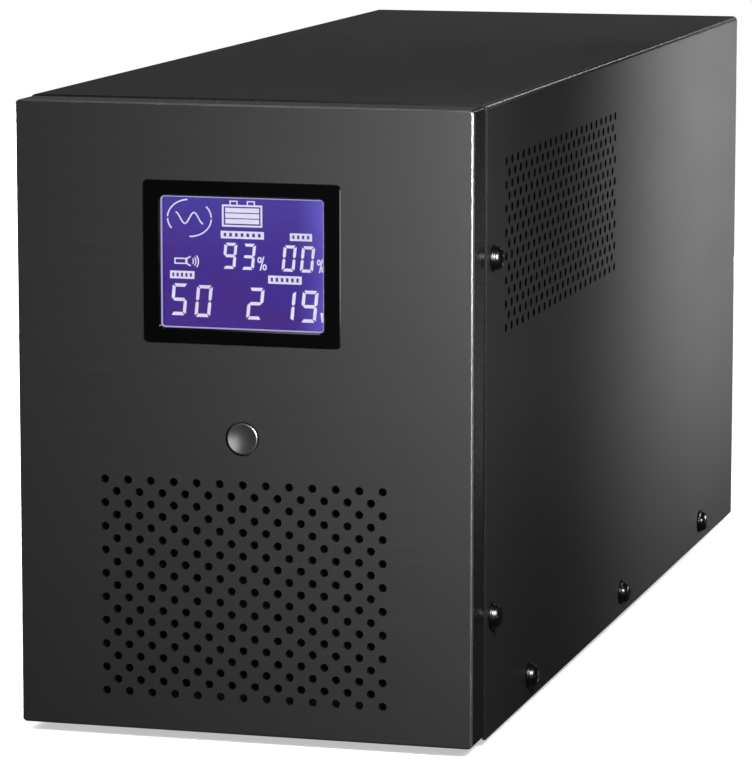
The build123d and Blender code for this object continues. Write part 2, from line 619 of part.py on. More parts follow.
def fan_guard():
    """Finger guard on the back: rings on two crossed bars, with an eye at each corner."""
    y, wire = PANEL_Y1, 0.8
    bars_y, rings_y = y + 0.8, y + 1.8
    reach = (FAN_SIZE / 2 - 4.25) * 2 ** 0.5 - 3
    guard = []
    for turn in (45, 135):
        bar = block(-reach, reach, bars_y, bars_y + 2 * wire, -wire, wire)
        guard.append(Pos(FAN[0], 0, FAN[1]) * Rot(0, turn, 0) * bar)
    for radius in (9, 18, 27, 36):
        guard.append(rod_y(*FAN, rings_y, rings_y + 2 * wire, radius + wire)
                     - rod_y(*FAN, y, y + 5, radius - wire))
    guard += [rod_y(x, z, y, y + 2.4, 3.6) for x, z in fan_corners()]
    return guard[0] + guard[1:] - [rod_y(x, z, y - 1, y + 4, 2.0) for x, z in fan_corners()]


def fan_screws():
    """M4 screws through the guard's eyes, the panel and the fan's corners."""
    screw = pan_screw(2.0, 12.0, 3.6, 2.4)
    return group([Pos(x, PANEL_Y1 + 2.4, z) * Rot(-90, 0, 0) * screw for x, z in fan_corners()])


def fan_lead():
    """Pair of thin wires from the fan to the board."""
    high = PARTS_Z + 6
    return group([lead([(x, FAN_Y0, 114), (x, FAN_Y0 - 14, 114), (x, FAN_Y0 - 14, high),
                        (x, 195, high)], 5, 0.9) for x in (-17.6, -15.4)])


def display_ribbon():
    """Flat cable from the display board to the main board."""
    path = FilletPolyline((0, 15.6, 131.2), (0, 25, 131.2), (0, 34, PARTS_Z + 4),
                          (0, 46, PARTS_Z + 4), radius=6)
    return sweep(Plane(path @ 0, z_dir=path % 0, x_dir=(1, 0, 0)) * Rectangle(16, 0.9), path=path)


# ------------------------------------------------------------------ rear connections
def socket_outline(width, height, cut):
    """Six-sided connector outline facing Y: both corners on the +X side are cut off."""
    w, h = width / 2, height / 2
    corners = [(-w, -h), (w - cut, -h), (w, cut - h), (w, h - cut), (w - cut, h), (-w, h)]
    return make_face(Polyline(*corners, close=True))


def socket_prism(place, width, height, cut, y0, y1):
    """Connector outline as a solid between two depths."""
    return Pos(place[0], y1, place[1]) * extrude(Plane.XZ * socket_outline(width, height, cut),
                                                 y1 - y0)


def inlet_blades():
    """Line, neutral and earth blades of the mains inlet."""
    x, z = INLET
    y0, y1 = PANEL_Y1 - 28, PANEL_Y1 + 1.5
    live = [block(x - 5.4, x - 1.4, y0, y1, z + dz - 1, z + dz + 1) for dz in (-7, 7)]
    return group(live + [block(x + 0.6, x + 4.6, y0, y1, z - 1, z + 1)])


def inlet_socket():
    """Appliance inlet for a mains lead: flange, body and recess."""
    x, z = INLET
    shell = upright_plate(x, z, 22.5, 48, 3, PANEL_Y1, PANEL_Y1 + 3)
    shell += upright_plate(x, z, 20, 28, 1.5, PANEL_Y1 - 20, PANEL_Y1 + 0.5)
    shell -= socket_prism(INLET, 16.4, 24.2, 4.0, PANEL_Y1 - 13.5, PANEL_Y1 + 4)
    shell -= [rod_y(x, z + dz, 400, 430, 1.5) for dz in (-20, 20)]
    return shell - inlet_blades()


def outlet_socket(x, z):
    """Appliance outlet: flange, groove round a core, three contact slots."""
    body = upright_plate(x, z, 31, 25, 2, PANEL_Y1, PANEL_Y1 + 2)
    body += upright_plate(x, z, 28, 22, 1.5, PANEL_Y1 - 22, PANEL_Y1 + 0.5)
    turned = Pos(x, 0, z) * Rot(0, -90, 0)
    groove = turned * (socket_prism((0, 0), 17.2, 25.0, 4.5, PANEL_Y1 - 15, PANEL_Y1 + 3)
                       - socket_prism((0, 0), 10.4, 18.2, 2.6, PANEL_Y1 - 16, PANEL_Y1 + 4))
    return body - groove - [turned * slot for slot in outlet_slots(2.7, 5.0, 1.0)]


def outlet_slots(thick, wide, deep):
    """The three contact slots or contacts of one outlet, before it is turned upright."""
    y0, y1 = PANEL_Y1 - 19, PANEL_Y1 + 1 + deep
    spots = [(-2.0, -7), (-2.0, 7), (2.0, 0)]
    return [block(x - wide / 2, x + wide / 2, y0, y1, z - thick / 2, z + thick / 2)
            for x, z in spots]


def outlet_contacts():
    """Folded brass contacts deep in the outlet slots."""
    pieces = []
    for x, z in OUTLETS:
        turned = Pos(x, 0, z) * Rot(0, -90, 0)
        for slot, hollow in zip(outlet_slots(2.7, 5.0, -6), outlet_slots(1.9, 6.0, -5)):
            pieces.append(turned * (slot - Pos(0, 2, 0) * hollow))
    return group(pieces)


def breaker_body():
    """Thermal circuit breaker: body, threaded neck and bore."""
    x, z = BREAKER
    body = block(x - 7, x + 7, PANEL_Y0 - 30, PANEL_Y0, z - 16, z + 16)
    body = fillet(body.edges().filter_by(Axis.Y), 1.0)
    body += rod_y(x, z, PANEL_Y0 - 1, PANEL_Y1 + 6, NECK_R)
    return body - rod_y(x, z, PANEL_Y1 - 12, PANEL_Y1 + 7, 3.3)


def breaker_nut():
    """Knurled ring nut on the breaker's neck."""
    ring = rod_y(*BREAKER, PANEL_Y1, PANEL_Y1 + 3, 8)
    flutes = []
    for i in range(24):
        turn = 2 * pi * i / 24
        flutes.append(rod_y(BREAKER[0] + 8.2 * cos(turn), BREAKER[1] + 8.2 * sin(turn),
                            PANEL_Y1 - 1, PANEL_Y1 + 4, 0.5))
    return ring - flutes - rod_y(*BREAKER, PANEL_Y1 - 1, PANEL_Y1 + 4, NECK_R + 0.05)


def breaker_button():
    """Reset button that springs out when the breaker trips, and stays guided by its bore."""
    guided = 7.5
    stem = rod_y(*BREAKER, PANEL_Y1 - RESET_TRAVEL - guided, PANEL_Y1 + BREAKER_REACH, 3.2)
    return fillet(stem.edges().sort_by(Axis.Y)[-1], 0.8)


def ports_board():
    """Small upright board behind the signal ports."""
    return block(PORT_X, PORT_X + BOARD_T, PANEL_Y0 - 22, PANEL_Y0 - 1, 116, 176)


def network_ports():
    """Two shielded telephone or network sockets for surge protection."""
    pieces = []
    for z in NETWORK_ZS:
        shell = block(46.4, PORT_X, PANEL_Y1 - 21, PANEL_Y1 + 0.6, z - 8, z + 8)
        shell -= block(49.2, 57.0, PANEL_Y1 - 12, PANEL_Y1 + 2, z - 5.9, z + 5.9)
        pieces.append(shell - block(47.6, 50.0, PANEL_Y1 - 8, PANEL_Y1 + 2, z - 3, z + 3))
    return group(pieces)


def usb_port():
    """Square signal socket with its tongue."""
    shell = block(48.9, PORT_X, PANEL_Y1 - 17, PANEL_Y1 + 0.6, USB_Z - 6, USB_Z + 6)
    hole = block(50.5, 58.4, PANEL_Y1 - 9, PANEL_Y1 + 2, USB_Z - 4.3, USB_Z + 4.3)
    hole -= block(52.8, 56.0, PANEL_Y1 - 10, PANEL_Y1 - 1, USB_Z - 2.8, USB_Z + 2.8)
    return shell - hole


# ------------------------------------------------------------------ write every node
NODES = {
    "cover": cover, "chassis": chassis, "rear_panel": rear_panel, "fascia": fascia,
    "front_bezel": front_bezel, "cover_screws": cover_screws, "rear_screws": rear_screws,
    "bezel_screws": bezel_screws, "lcd_frame": lcd_frame, "lcd_window": lcd_window,
    "lcd_glass": lcd_glass, "lcd_backlight": lcd_backlight, "display_board": display_board,
    "power_button": power_button, "button_spring": button_spring,
    "power_switch": power_switch, "switch_plunger": switch_plunger,
    "rubber_feet": lambda: group([rubber_foot(x, y) for x, y in FEET]),
    "left_battery": lambda: battery(-BATTERY_XC), "right_battery": lambda: battery(BATTERY_XC),
    "battery_terminals": battery_terminals, "spade_connectors": spade_connectors,
    "battery_pads": battery_pads, "black_battery_leads": black_battery_leads,
    "red_battery_lead": lambda: battery_lead(TAB_XS[3]),
    "board_tray": board_tray, "board_standoffs": board_standoffs, "board_screws": board_screws,
    "main_board": main_board, "heat_sinks": heat_sinks, "power_transistors": power_transistors,
    "relays": relays, "capacitors": capacitors, "board_fuses": board_fuses,
    "board_connectors": board_connectors, "buzzer": buzzer,
    "transformer_core": transformer_core, "transformer_bobbin": transformer_bobbin,
    "transformer_winding": transformer_winding, "transformer_bracket": transformer_bracket,
    "transformer_bolts": transformer_bolts, "power_leads": power_leads,
    "fan_frame": fan_frame, "fan_rotor": fan_rotor, "fan_stator": fan_stator,
    "fan_bearing": fan_bearing, "fan_guard": fan_guard, "fan_screws": fan_screws,
    "fan_lead": fan_lead, "display_ribbon": display_ribbon, "inlet_socket": inlet_socket,
    "inlet_blades": inlet_blades,
    "outlet_sockets": lambda: group([outlet_socket(x, z) for x, z in OUTLETS]),
    "outlet_contacts": outlet_contacts, "breaker_body": breaker_body,
    "breaker_nut": breaker_nut, "breaker_button": breaker_button, "ports_board": ports_board,
    "network_ports": network_ports, "usb_port": usb_port,
}

for node, make in NODES.items():
    export(node, make())
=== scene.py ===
"""Looks for the tower uninterruptible power supply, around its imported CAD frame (metres)."""

import json
import math

import bmesh
import bpy
from mathutils import Matrix, Vector


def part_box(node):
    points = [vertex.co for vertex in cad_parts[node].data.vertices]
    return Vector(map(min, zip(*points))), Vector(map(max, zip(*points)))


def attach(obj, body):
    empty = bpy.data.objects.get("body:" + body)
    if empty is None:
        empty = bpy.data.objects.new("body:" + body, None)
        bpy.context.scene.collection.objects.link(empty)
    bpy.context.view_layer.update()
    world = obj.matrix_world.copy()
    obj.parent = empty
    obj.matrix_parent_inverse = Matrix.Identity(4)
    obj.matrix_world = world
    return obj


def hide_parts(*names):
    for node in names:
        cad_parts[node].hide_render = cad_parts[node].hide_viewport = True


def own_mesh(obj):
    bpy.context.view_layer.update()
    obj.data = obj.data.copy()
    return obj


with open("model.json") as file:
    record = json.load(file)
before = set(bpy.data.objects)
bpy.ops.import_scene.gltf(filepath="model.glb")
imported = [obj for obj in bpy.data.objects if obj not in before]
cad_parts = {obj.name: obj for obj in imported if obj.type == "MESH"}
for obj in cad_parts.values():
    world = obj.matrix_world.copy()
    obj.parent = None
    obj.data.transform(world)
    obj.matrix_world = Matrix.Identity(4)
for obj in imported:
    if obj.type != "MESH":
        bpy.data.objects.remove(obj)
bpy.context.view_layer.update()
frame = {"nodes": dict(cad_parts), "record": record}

MM = 0.001
NODES = frame["nodes"]
SLOT_OF = {part["node"]: part["material_slot"] for part in frame["record"]["subparts"]}
FASCIA_LOW, FASCIA_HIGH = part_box("fascia")

# ------------------------------------------------------------------ camera
CAMERA_OFFSET = Vector((0.3876, -1.2463, 0.3119))   # from the fascia's bottom middle
CAMERA_AZIMUTH = math.radians(15.484)
CAMERA_ELEVATION = math.radians(8.813)
CAMERA_LENS = 202.8
CAMERA_SENSOR = 36.0


def make_camera():
    """Long-lens camera, right of the front and slightly above."""
    data = bpy.data.cameras.new("camera")
    data.lens = CAMERA_LENS
    data.sensor_width = CAMERA_SENSOR
    camera = bpy.data.objects.new("camera", data)
    bpy.context.scene.collection.objects.link(camera)
    middle = (FASCIA_LOW.x + FASCIA_HIGH.x) / 2
    camera.location = Vector((middle, FASCIA_LOW.y, FASCIA_LOW.z)) + CAMERA_OFFSET
    camera.rotation_euler = (math.pi / 2 - CAMERA_ELEVATION, 0, CAMERA_AZIMUTH)
    bpy.context.scene.camera = camera


# ------------------------------------------------------------------ shader helpers
def new_material(name):
    """Empty node material: returns it, its node tree and its Principled shader."""
    material = bpy.data.materials.new(name)
    material.use_nodes = True
    return material, material.node_tree, material.node_tree.nodes["Principled BSDF"]


def add_node(tree, kind, **inputs):
    """New shader node with some of its sockets set; underscores stand for spaces."""
    node = tree.nodes.new("ShaderNode" + kind)
    for key, value in inputs.items():
        node.inputs[key.replace("_", " ")].default_value = value
    return node


def position(tree, stretch=(1, 1, 1), turn=(0, 0, 0)):
    """Object position, turned and scaled along each axis."""
    coordinates = tree.nodes.new("ShaderNodeTexCoord")
    mapping = tree.nodes.new("ShaderNodeMapping")
    mapping.inputs["Scale"].default_value = stretch
    mapping.inputs["Rotation"].default_value = turn
    tree.links.new(coordinates.outputs["Object"], mapping.inputs["Vector"])
    return mapping.outputs["Vector"]


def noise(tree, scale, detail=4.0, stretch=(1, 1, 1)):
    """Fractal noise over the object's position, as one socket from 0 to 1."""
    node = add_node(tree, "TexNoise", Scale=scale, Detail=detail)
    tree.links.new(position(tree, stretch), node.inputs["Vector"])
    return node.outputs["Fac"]


def remap(tree, socket, low, high, start=0.3, end=0.7):
    """A socket's range from start to end spread over low to high."""
    node = tree.nodes.new("ShaderNodeMapRange")
    for key, value in (("From Min", start), ("From Max", end), ("To Min", low), ("To Max", high)):
        node.inputs[key].default_value = value
    tree.links.new(socket, node.inputs["Value"])
    return node.outputs["Result"]


def blend_colours(tree, socket, dark, light):
    """Colour between dark and light as the socket goes from 0 to 1."""
    node = tree.nodes.new("ShaderNodeMix")
    node.data_type = "RGBA"
    node.inputs[6].default_value = (*dark, 1)
    node.inputs[7].default_value = (*light, 1)
    tree.links.new(socket, node.inputs[0])
    return node.outputs[2]


def mix_into(tree, factor, socket, colour):
    """A colour socket that turns into a fixed colour as the factor rises."""
    node = tree.nodes.new("ShaderNodeMix")
    node.data_type = "RGBA"
    tree.links.new(factor, node.inputs[0])
    tree.links.new(socket, node.inputs[6])
    node.inputs[7].default_value = (*colour, 1)
    return node.outputs[2]


def math_node(tree, operation, first, second):
    """Math node on two values, each a socket or a number."""
    node = tree.nodes.new("ShaderNodeMath")
    node.operation = operation
    for place, value in enumerate((first, second)):
        if isinstance(value, (int, float)):
            node.inputs[place].default_value = value
        else:
            tree.links.new(value, node.inputs[place])
    return node.outputs[0]


def multiply(tree, first, second):
    """Product of two sockets."""
    return math_node(tree, "MULTIPLY", first, second)


def bump(tree, shader, socket, distance, strength=1.0, under=None):
    """Bump from a height socket, on top of another bump if one is given."""
    node = add_node(tree, "Bump", Strength=strength, Distance=distance)
    tree.links.new(socket, node.inputs["Height"])
    if under is not None:
        tree.links.new(under, node.inputs["Normal"])
    tree.links.new(node.outputs["Normal"], shader.inputs["Normal"])
    return node.outputs["Normal"]


def shade(colour, factor):
    """A colour made darker or lighter."""
    return tuple(min(1.0, channel * factor) for channel in colour)


def textured(name, colour, roughness, metallic=0.0, scale=900.0, distance=0.02 * MM,
             stretch=(1, 1, 1), vary=0.12, spread=0.06):
    """General surface: cloudy colour and roughness, with a fine grain as bump."""
    material, tree, shader = new_material(name)
    cloud = noise(tree, 28.0, 3.0)
    tint = blend_colours(tree, cloud, shade(colour, 1 - vary), shade(colour, 1 + vary))
    tree.links.new(tint, shader.inputs["Base Color"])
    rough = remap(tree, noise(tree, scale / 3, 3.0, stretch), roughness - spread,
                  roughness + spread)
    tree.links.new(rough, shader.inputs["Roughness"])
    shader.inputs["Metallic"].default_value = metallic
    bump(tree, shader, noise(tree, scale, 2.0, stretch), distance)
    return material


# ------------------------------------------------------------------ materials of the outside
EDGE_BAND = 3 * MM       # holes in the sheets all lie further in than this
FACE_ON = 0.92           # a face whose normal has more than this along an axis faces along it
PAINT_GLOSS = 0.5        # specular level of the cover's paint
PLATE_METAL = 0.35       # how metallic the front plate's finish is
POLISH = 0.22            # how much smoother rubbed bends and cut edges are than the sheet
# painted shade: colour of the hole walls, black in place of the shade inside the holes
PAINTED_HOLE_SHADE = (0.001, 0.001, 0.001)
CUT_EDGE = (0.85, 0.85, 0.86)
CELL_BLUE = (0.036, 0.014, 0.27)
CELL_VIOLET = (0.050, 0.010, 0.21)
CELL_TOP = (0.062, 0.042, 0.35)
CELL_RIGHT = (0.16, 0.13, 0.70)


def powder_coat(name, colour, node, axis):
    """Satin black powder coat on steel: fine orange peel, faint marks, bends rubbed smooth; painted
    shade makes the hole walls black and glossless.
    """
    material, tree, shader = new_material(name)
    cloud = noise(tree, 14.0, 4.0)
    tint = blend_colours(tree, cloud, shade(colour, 0.94), shade(colour, 1.06))
    walls, _ = sheet_sides(tree, node, axis)
    # painted shade: the hole walls turn black, and below they lose their gloss
    tint = mix_into(tree, walls, tint, PAINTED_HOLE_SHADE)
    bend = bend_mask(tree)
    rubbed = shade(colour, 3.0)
    tree.links.new(mix_into(tree, bend, tint, rubbed), shader.inputs["Base Color"])
    gloss = math_node(tree, "SUBTRACT", PAINT_GLOSS, multiply(tree, walls, PAINT_GLOSS))
    tree.links.new(gloss, shader.inputs["Specular IOR Level"])
    smears = noise(tree, 45.0, 5.0, (1, 0.35, 1))
    satin = remap(tree, smears, 0.44, 0.47)
    tree.links.new(math_node(tree, "SUBTRACT", satin, multiply(tree, bend, POLISH)),
                   shader.inputs["Roughness"])
    shader.inputs["IOR"].default_value = 1.5
    peel = bump(tree, shader, noise(tree, 1400.0, 1.0), 0.012 * MM, 0.6)
    bump(tree, shader, noise(tree, 5000.0, 1.0), 0.004 * MM, 0.5, peel)
    return material


def brushed_fascia(name, colour):
    """Graphite front plate: satin, brushed from side to side, with a bright cut edge; painted shade
    makes the hole walls black and not metallic.
    """
    material, tree, shader = new_material(name)
    streaks = noise(tree, 2600.0, 3.0, (0.012, 1, 1))
    cloud = noise(tree, 12.0, 3.0)
    tint = blend_colours(tree, streaks, shade(colour, 0.9), shade(colour, 1.12))
    mottled = blend_colours(tree, cloud, (0.93, 0.93, 0.93), (1.05, 1.05, 1.05))
    product = tree.nodes.new("ShaderNodeMix")
    product.data_type = "RGBA"
    product.blend_type = "MULTIPLY"
    product.inputs[0].default_value = 1.0
    tree.links.new(tint, product.inputs[6])
    tree.links.new(mottled, product.inputs[7])
    walls, rim = sheet_sides(tree, "fascia", "Y")
    # painted shade: the hole walls turn black, and below they lose their metal
    face = mix_into(tree, walls, product.outputs[2], PAINTED_HOLE_SHADE)
    tree.links.new(mix_into(tree, rim, face, CUT_EDGE), shader.inputs["Base Color"])
    satin = remap(tree, streaks, 0.50, 0.60)
    tree.links.new(math_node(tree, "SUBTRACT", satin, multiply(tree, rim, POLISH)),
                   shader.inputs["Roughness"])
    metal = math_node(tree, "SUBTRACT", math_node(tree, "ADD", PLATE_METAL, rim), walls)
    tree.links.new(metal, shader.inputs["Metallic"])
    lines = bump(tree, shader, streaks, 0.02 * MM, 0.35)
    bump(tree, shader, noise(tree, 1500.0, 2.0), 0.01 * MM, 0.35, lines)
    return material


def sheet_sides(tree, node, axis):
    """Masks of a sheet's sides, which don't face along its axis: hole walls, outer edges."""
    geometry = tree.nodes.new("ShaderNodeNewGeometry")
    normal = tree.nodes.new("ShaderNodeSeparateXYZ")
    tree.links.new(geometry.outputs["True Normal"], normal.inputs["Vector"])
    facing = math_node(tree, "ABSOLUTE", normal.outputs[axis], 0.0)
    sideways = math_node(tree, "LESS_THAN", facing, FACE_ON)
    place = tree.nodes.new("ShaderNodeSeparateXYZ")
    tree.links.new(position(tree), place.inputs["Vector"])
    low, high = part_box(node)
    inner = sideways
    for i, across in enumerate("XYZ"):
        if across == axis:
            continue
        off = math_node(tree, "SUBTRACT", place.outputs[across], (low[i] + high[i]) / 2)
        size = math_node(tree, "ABSOLUTE", off, 0.0)
        within = math_node(tree, "LESS_THAN", size, (high[i] - low[i]) / 2 - EDGE_BAND)
        inner = multiply(tree, inner, within)
    return inner, math_node(tree, "SUBTRACT", sideways, inner)


def bend_mask(tree):
    """1 on the bends between a sheet's upright sides and its level top."""
    geometry = tree.nodes.new("ShaderNodeNewGeometry")
    normal = tree.nodes.new("ShaderNodeSeparateXYZ")
    tree.links.new(geometry.outputs["Normal"], normal.inputs["Vector"])
    both = multiply(tree, normal.outputs["X"], normal.outputs["Z"])
    return remap(tree, math_node(tree, "ABSOLUTE", both, 0.0), 0.0, 1.0, 0.1, 0.3)


def clear_lens(name, colour):
    """Thin clear acrylic with faint dust."""
    material, tree, shader = new_material(name)
    shader.inputs["Base Color"].default_value = (*colour[:3], 1)
    shader.inputs["Transmission Weight"].default_value = 1.0
    shader.inputs["IOR"].default_value = 1.3
    dust = remap(tree, noise(tree, 900.0, 2.0), 0.0, 0.04, 0.55, 0.8)
    tree.links.new(dust, shader.inputs["Roughness"])
    return material


def display_cell(name, colour):
    """Backlit cell: violet in the middle, bluer at the top and brightest at the right edge."""
    low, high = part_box("lcd_glass")
    material, tree, shader = new_material(name)
    split = tree.nodes.new("ShaderNodeSeparateXYZ")
    tree.links.new(position(tree), split.inputs["Vector"])
    cloud = remap(tree, noise(tree, 55.0, 2.0), 0.0, 1.0)
    glow = blend_colours(tree, cloud, CELL_BLUE, CELL_VIOLET)
    blue_from = low.z + 0.45 * (high.z - low.z)
    up = remap(tree, split.outputs["Z"], 0.0, 0.8, blue_from, high.z)
    glow = mix_into(tree, up, glow, CELL_TOP)
    bright_from = low.x + 0.80 * (high.x - low.x)
    right = remap(tree, split.outputs["X"], 0.0, 1.0, bright_from, high.x)
    patch = remap(tree, noise(tree, 38.0, 1.0), 0.35, 1.0)
    glow = mix_into(tree, multiply(tree, right, patch), glow, CELL_RIGHT)
    tree.links.new(glow, shader.inputs["Emission Color"])
    shader.inputs["Emission Strength"].default_value = 1.0
    shader.inputs["Base Color"].default_value = (*colour, 1)
    shader.inputs["Roughness"].default_value = 0.3
    shader.inputs["Specular IOR Level"].default_value = 0.0
    return material


def lit_segments(name, colour):
    """Clear parts of the cell where the backlight comes through, a little uneven; the lens bevel
    gets the same glow as painted light.
    """
    material, tree, shader = new_material(name)
    cloud = remap(tree, noise(tree, 160.0, 2.0), 0.0, 1.0)
    glow = blend_colours(tree, cloud, shade(colour, 0.86), colour)
    tree.links.new(glow, shader.inputs["Emission Color"])
    shader.inputs["Emission Strength"].default_value = 1.0
    shader.inputs["Base Color"].default_value = (0.02, 0.02, 0.03, 1)
    shader.inputs["Roughness"].default_value = 0.35
    shader.inputs["Specular IOR Level"].default_value = 0.05
    return material


# ------------------------------------------------------------------ materials of metal and boards
WAVE_PERIOD = 2 * math.pi / 20      # length of one band of a wave texture at scale 1
BOARD_TURN = (math.radians(45), 0, 0)
SOLDER = (0.55, 0.54, 0.50)


def galvanised(name, colour):
    """Zinc-coated sheet steel: spangle cells that differ in tone and gloss."""
    material, tree, shader = new_material(name)
    spangle = cell_values(tree, 220.0)
    tree.links.new(blend_colours(tree, spangle, shade(colour, 0.75), colour),
                   shader.inputs["Base Color"])
    tree.links.new(remap(tree, spangle, 0.30, 0.48, 0.0, 1.0), shader.inputs["Roughness"])
    shader.inputs["Metallic"].default_value = 0.9
    bump(tree, shader, noise(tree, 1200.0, 2.0), 0.01 * MM, 0.5)
    return material


def drawn_metal(name, colour, roughness=0.28, stretch=(1, 0.04, 1)):
    """Bare or plated metal with fine drawing lines along one axis."""
    material, tree, shader = new_material(name)
    lines = noise(tree, 2400.0, 2.0, stretch)
    cloud = noise(tree, 60.0, 3.0)
    tree.links.new(blend_colours(tree, cloud, shade(colour, 0.8), colour),
                   shader.inputs["Base Color"])
    tree.links.new(remap(tree, lines, roughness * 0.8, roughness * 1.3),
                   shader.inputs["Roughness"])
    shader.inputs["Metallic"].default_value = 1.0
    bump(tree, shader, lines, 0.006 * MM, 0.5)
    return material


def circuit_board(name, colour):
    """Green solder mask over copper tracks, with tinned pads."""
    material, tree, shader = new_material(name)
    tracks = tree.nodes.new("ShaderNodeTexBrick")
    tracks.offset = 0.37
    for key, value in (("Scale", 130.0), ("Mortar Size", 0.035), ("Brick Width", 0.9),
                       ("Row Height", 0.22)):
        tracks.inputs[key].default_value = value
    tree.links.new(position(tree, turn=BOARD_TURN), tracks.inputs["Vector"])
    mask = blend_colours(tree, tracks.outputs["Fac"], colour, shade(colour, 1.9))
    pads = add_node(tree, "TexVoronoi", Scale=300.0)
    tree.links.new(position(tree), pads.inputs["Vector"])
    pad = remap(tree, pads.outputs["Distance"], 1.0, 0.0, 0.16, 0.22)
    tree.links.new(mix_into(tree, pad, mask, SOLDER), shader.inputs["Base Color"])
    tree.links.new(remap(tree, pad, 0.0, 0.9, 0.0, 1.0), shader.inputs["Metallic"])
    shader.inputs["Roughness"].default_value = 0.38
    bump(tree, shader, tracks.outputs["Fac"], 0.03 * MM, 0.5)
    return material


def striped(name, colour, other, axis, pitch, roughness, metallic=0.0, depth=0.1 * MM):
    """Regular stripes across one axis: laminations, wound turns or ribbon cores."""
    material, tree, shader = new_material(name)
    bands = tree.nodes.new("ShaderNodeTexWave")
    bands.bands_direction = axis
    bands.inputs["Scale"].default_value = WAVE_PERIOD / pitch
    tree.links.new(position(tree), bands.inputs["Vector"])
    tint = blend_colours(tree, remap(tree, bands.outputs["Fac"], 0.0, 1.0, 0.1, 0.9),
                         other, colour)
    cloud = remap(tree, noise(tree, 70.0, 3.0), 0.0, 0.35)
    tree.links.new(mix_into(tree, cloud, tint, shade(colour, 0.7)), shader.inputs["Base Color"])
    shader.inputs["Roughness"].default_value = roughness
    shader.inputs["Metallic"].default_value = metallic
    bump(tree, shader, bands.outputs["Fac"], depth, 0.8)
    return material


def foam_pad(name, colour):
    """Open-cell foam strip."""
    material, tree, shader = new_material(name)
    pores = add_node(tree, "TexVoronoi", Scale=1100.0)
    tree.links.new(position(tree), pores.inputs["Vector"])
    depth = remap(tree, pores.outputs["Distance"], 0.0, 1.0, 0.1, 0.6)
    tree.links.new(blend_colours(tree, depth, shade(colour, 1.4), shade(colour, 0.5)),
                   shader.inputs["Base Color"])
    shader.inputs["Roughness"].default_value = 0.95
    bump(tree, shader, depth, 0.25 * MM, 0.9)
    return material


def cell_values(tree, scale):
    """One random value from 0 to 1 for each cell of a cell pattern."""
    cells = add_node(tree, "TexVoronoi", Scale=scale)
    tree.links.new(position(tree), cells.inputs["Vector"])
    split = tree.nodes.new("ShaderNodeSeparateColor")
    tree.links.new(cells.outputs["Color"], split.inputs["Color"])
    return split.outputs["Red"]


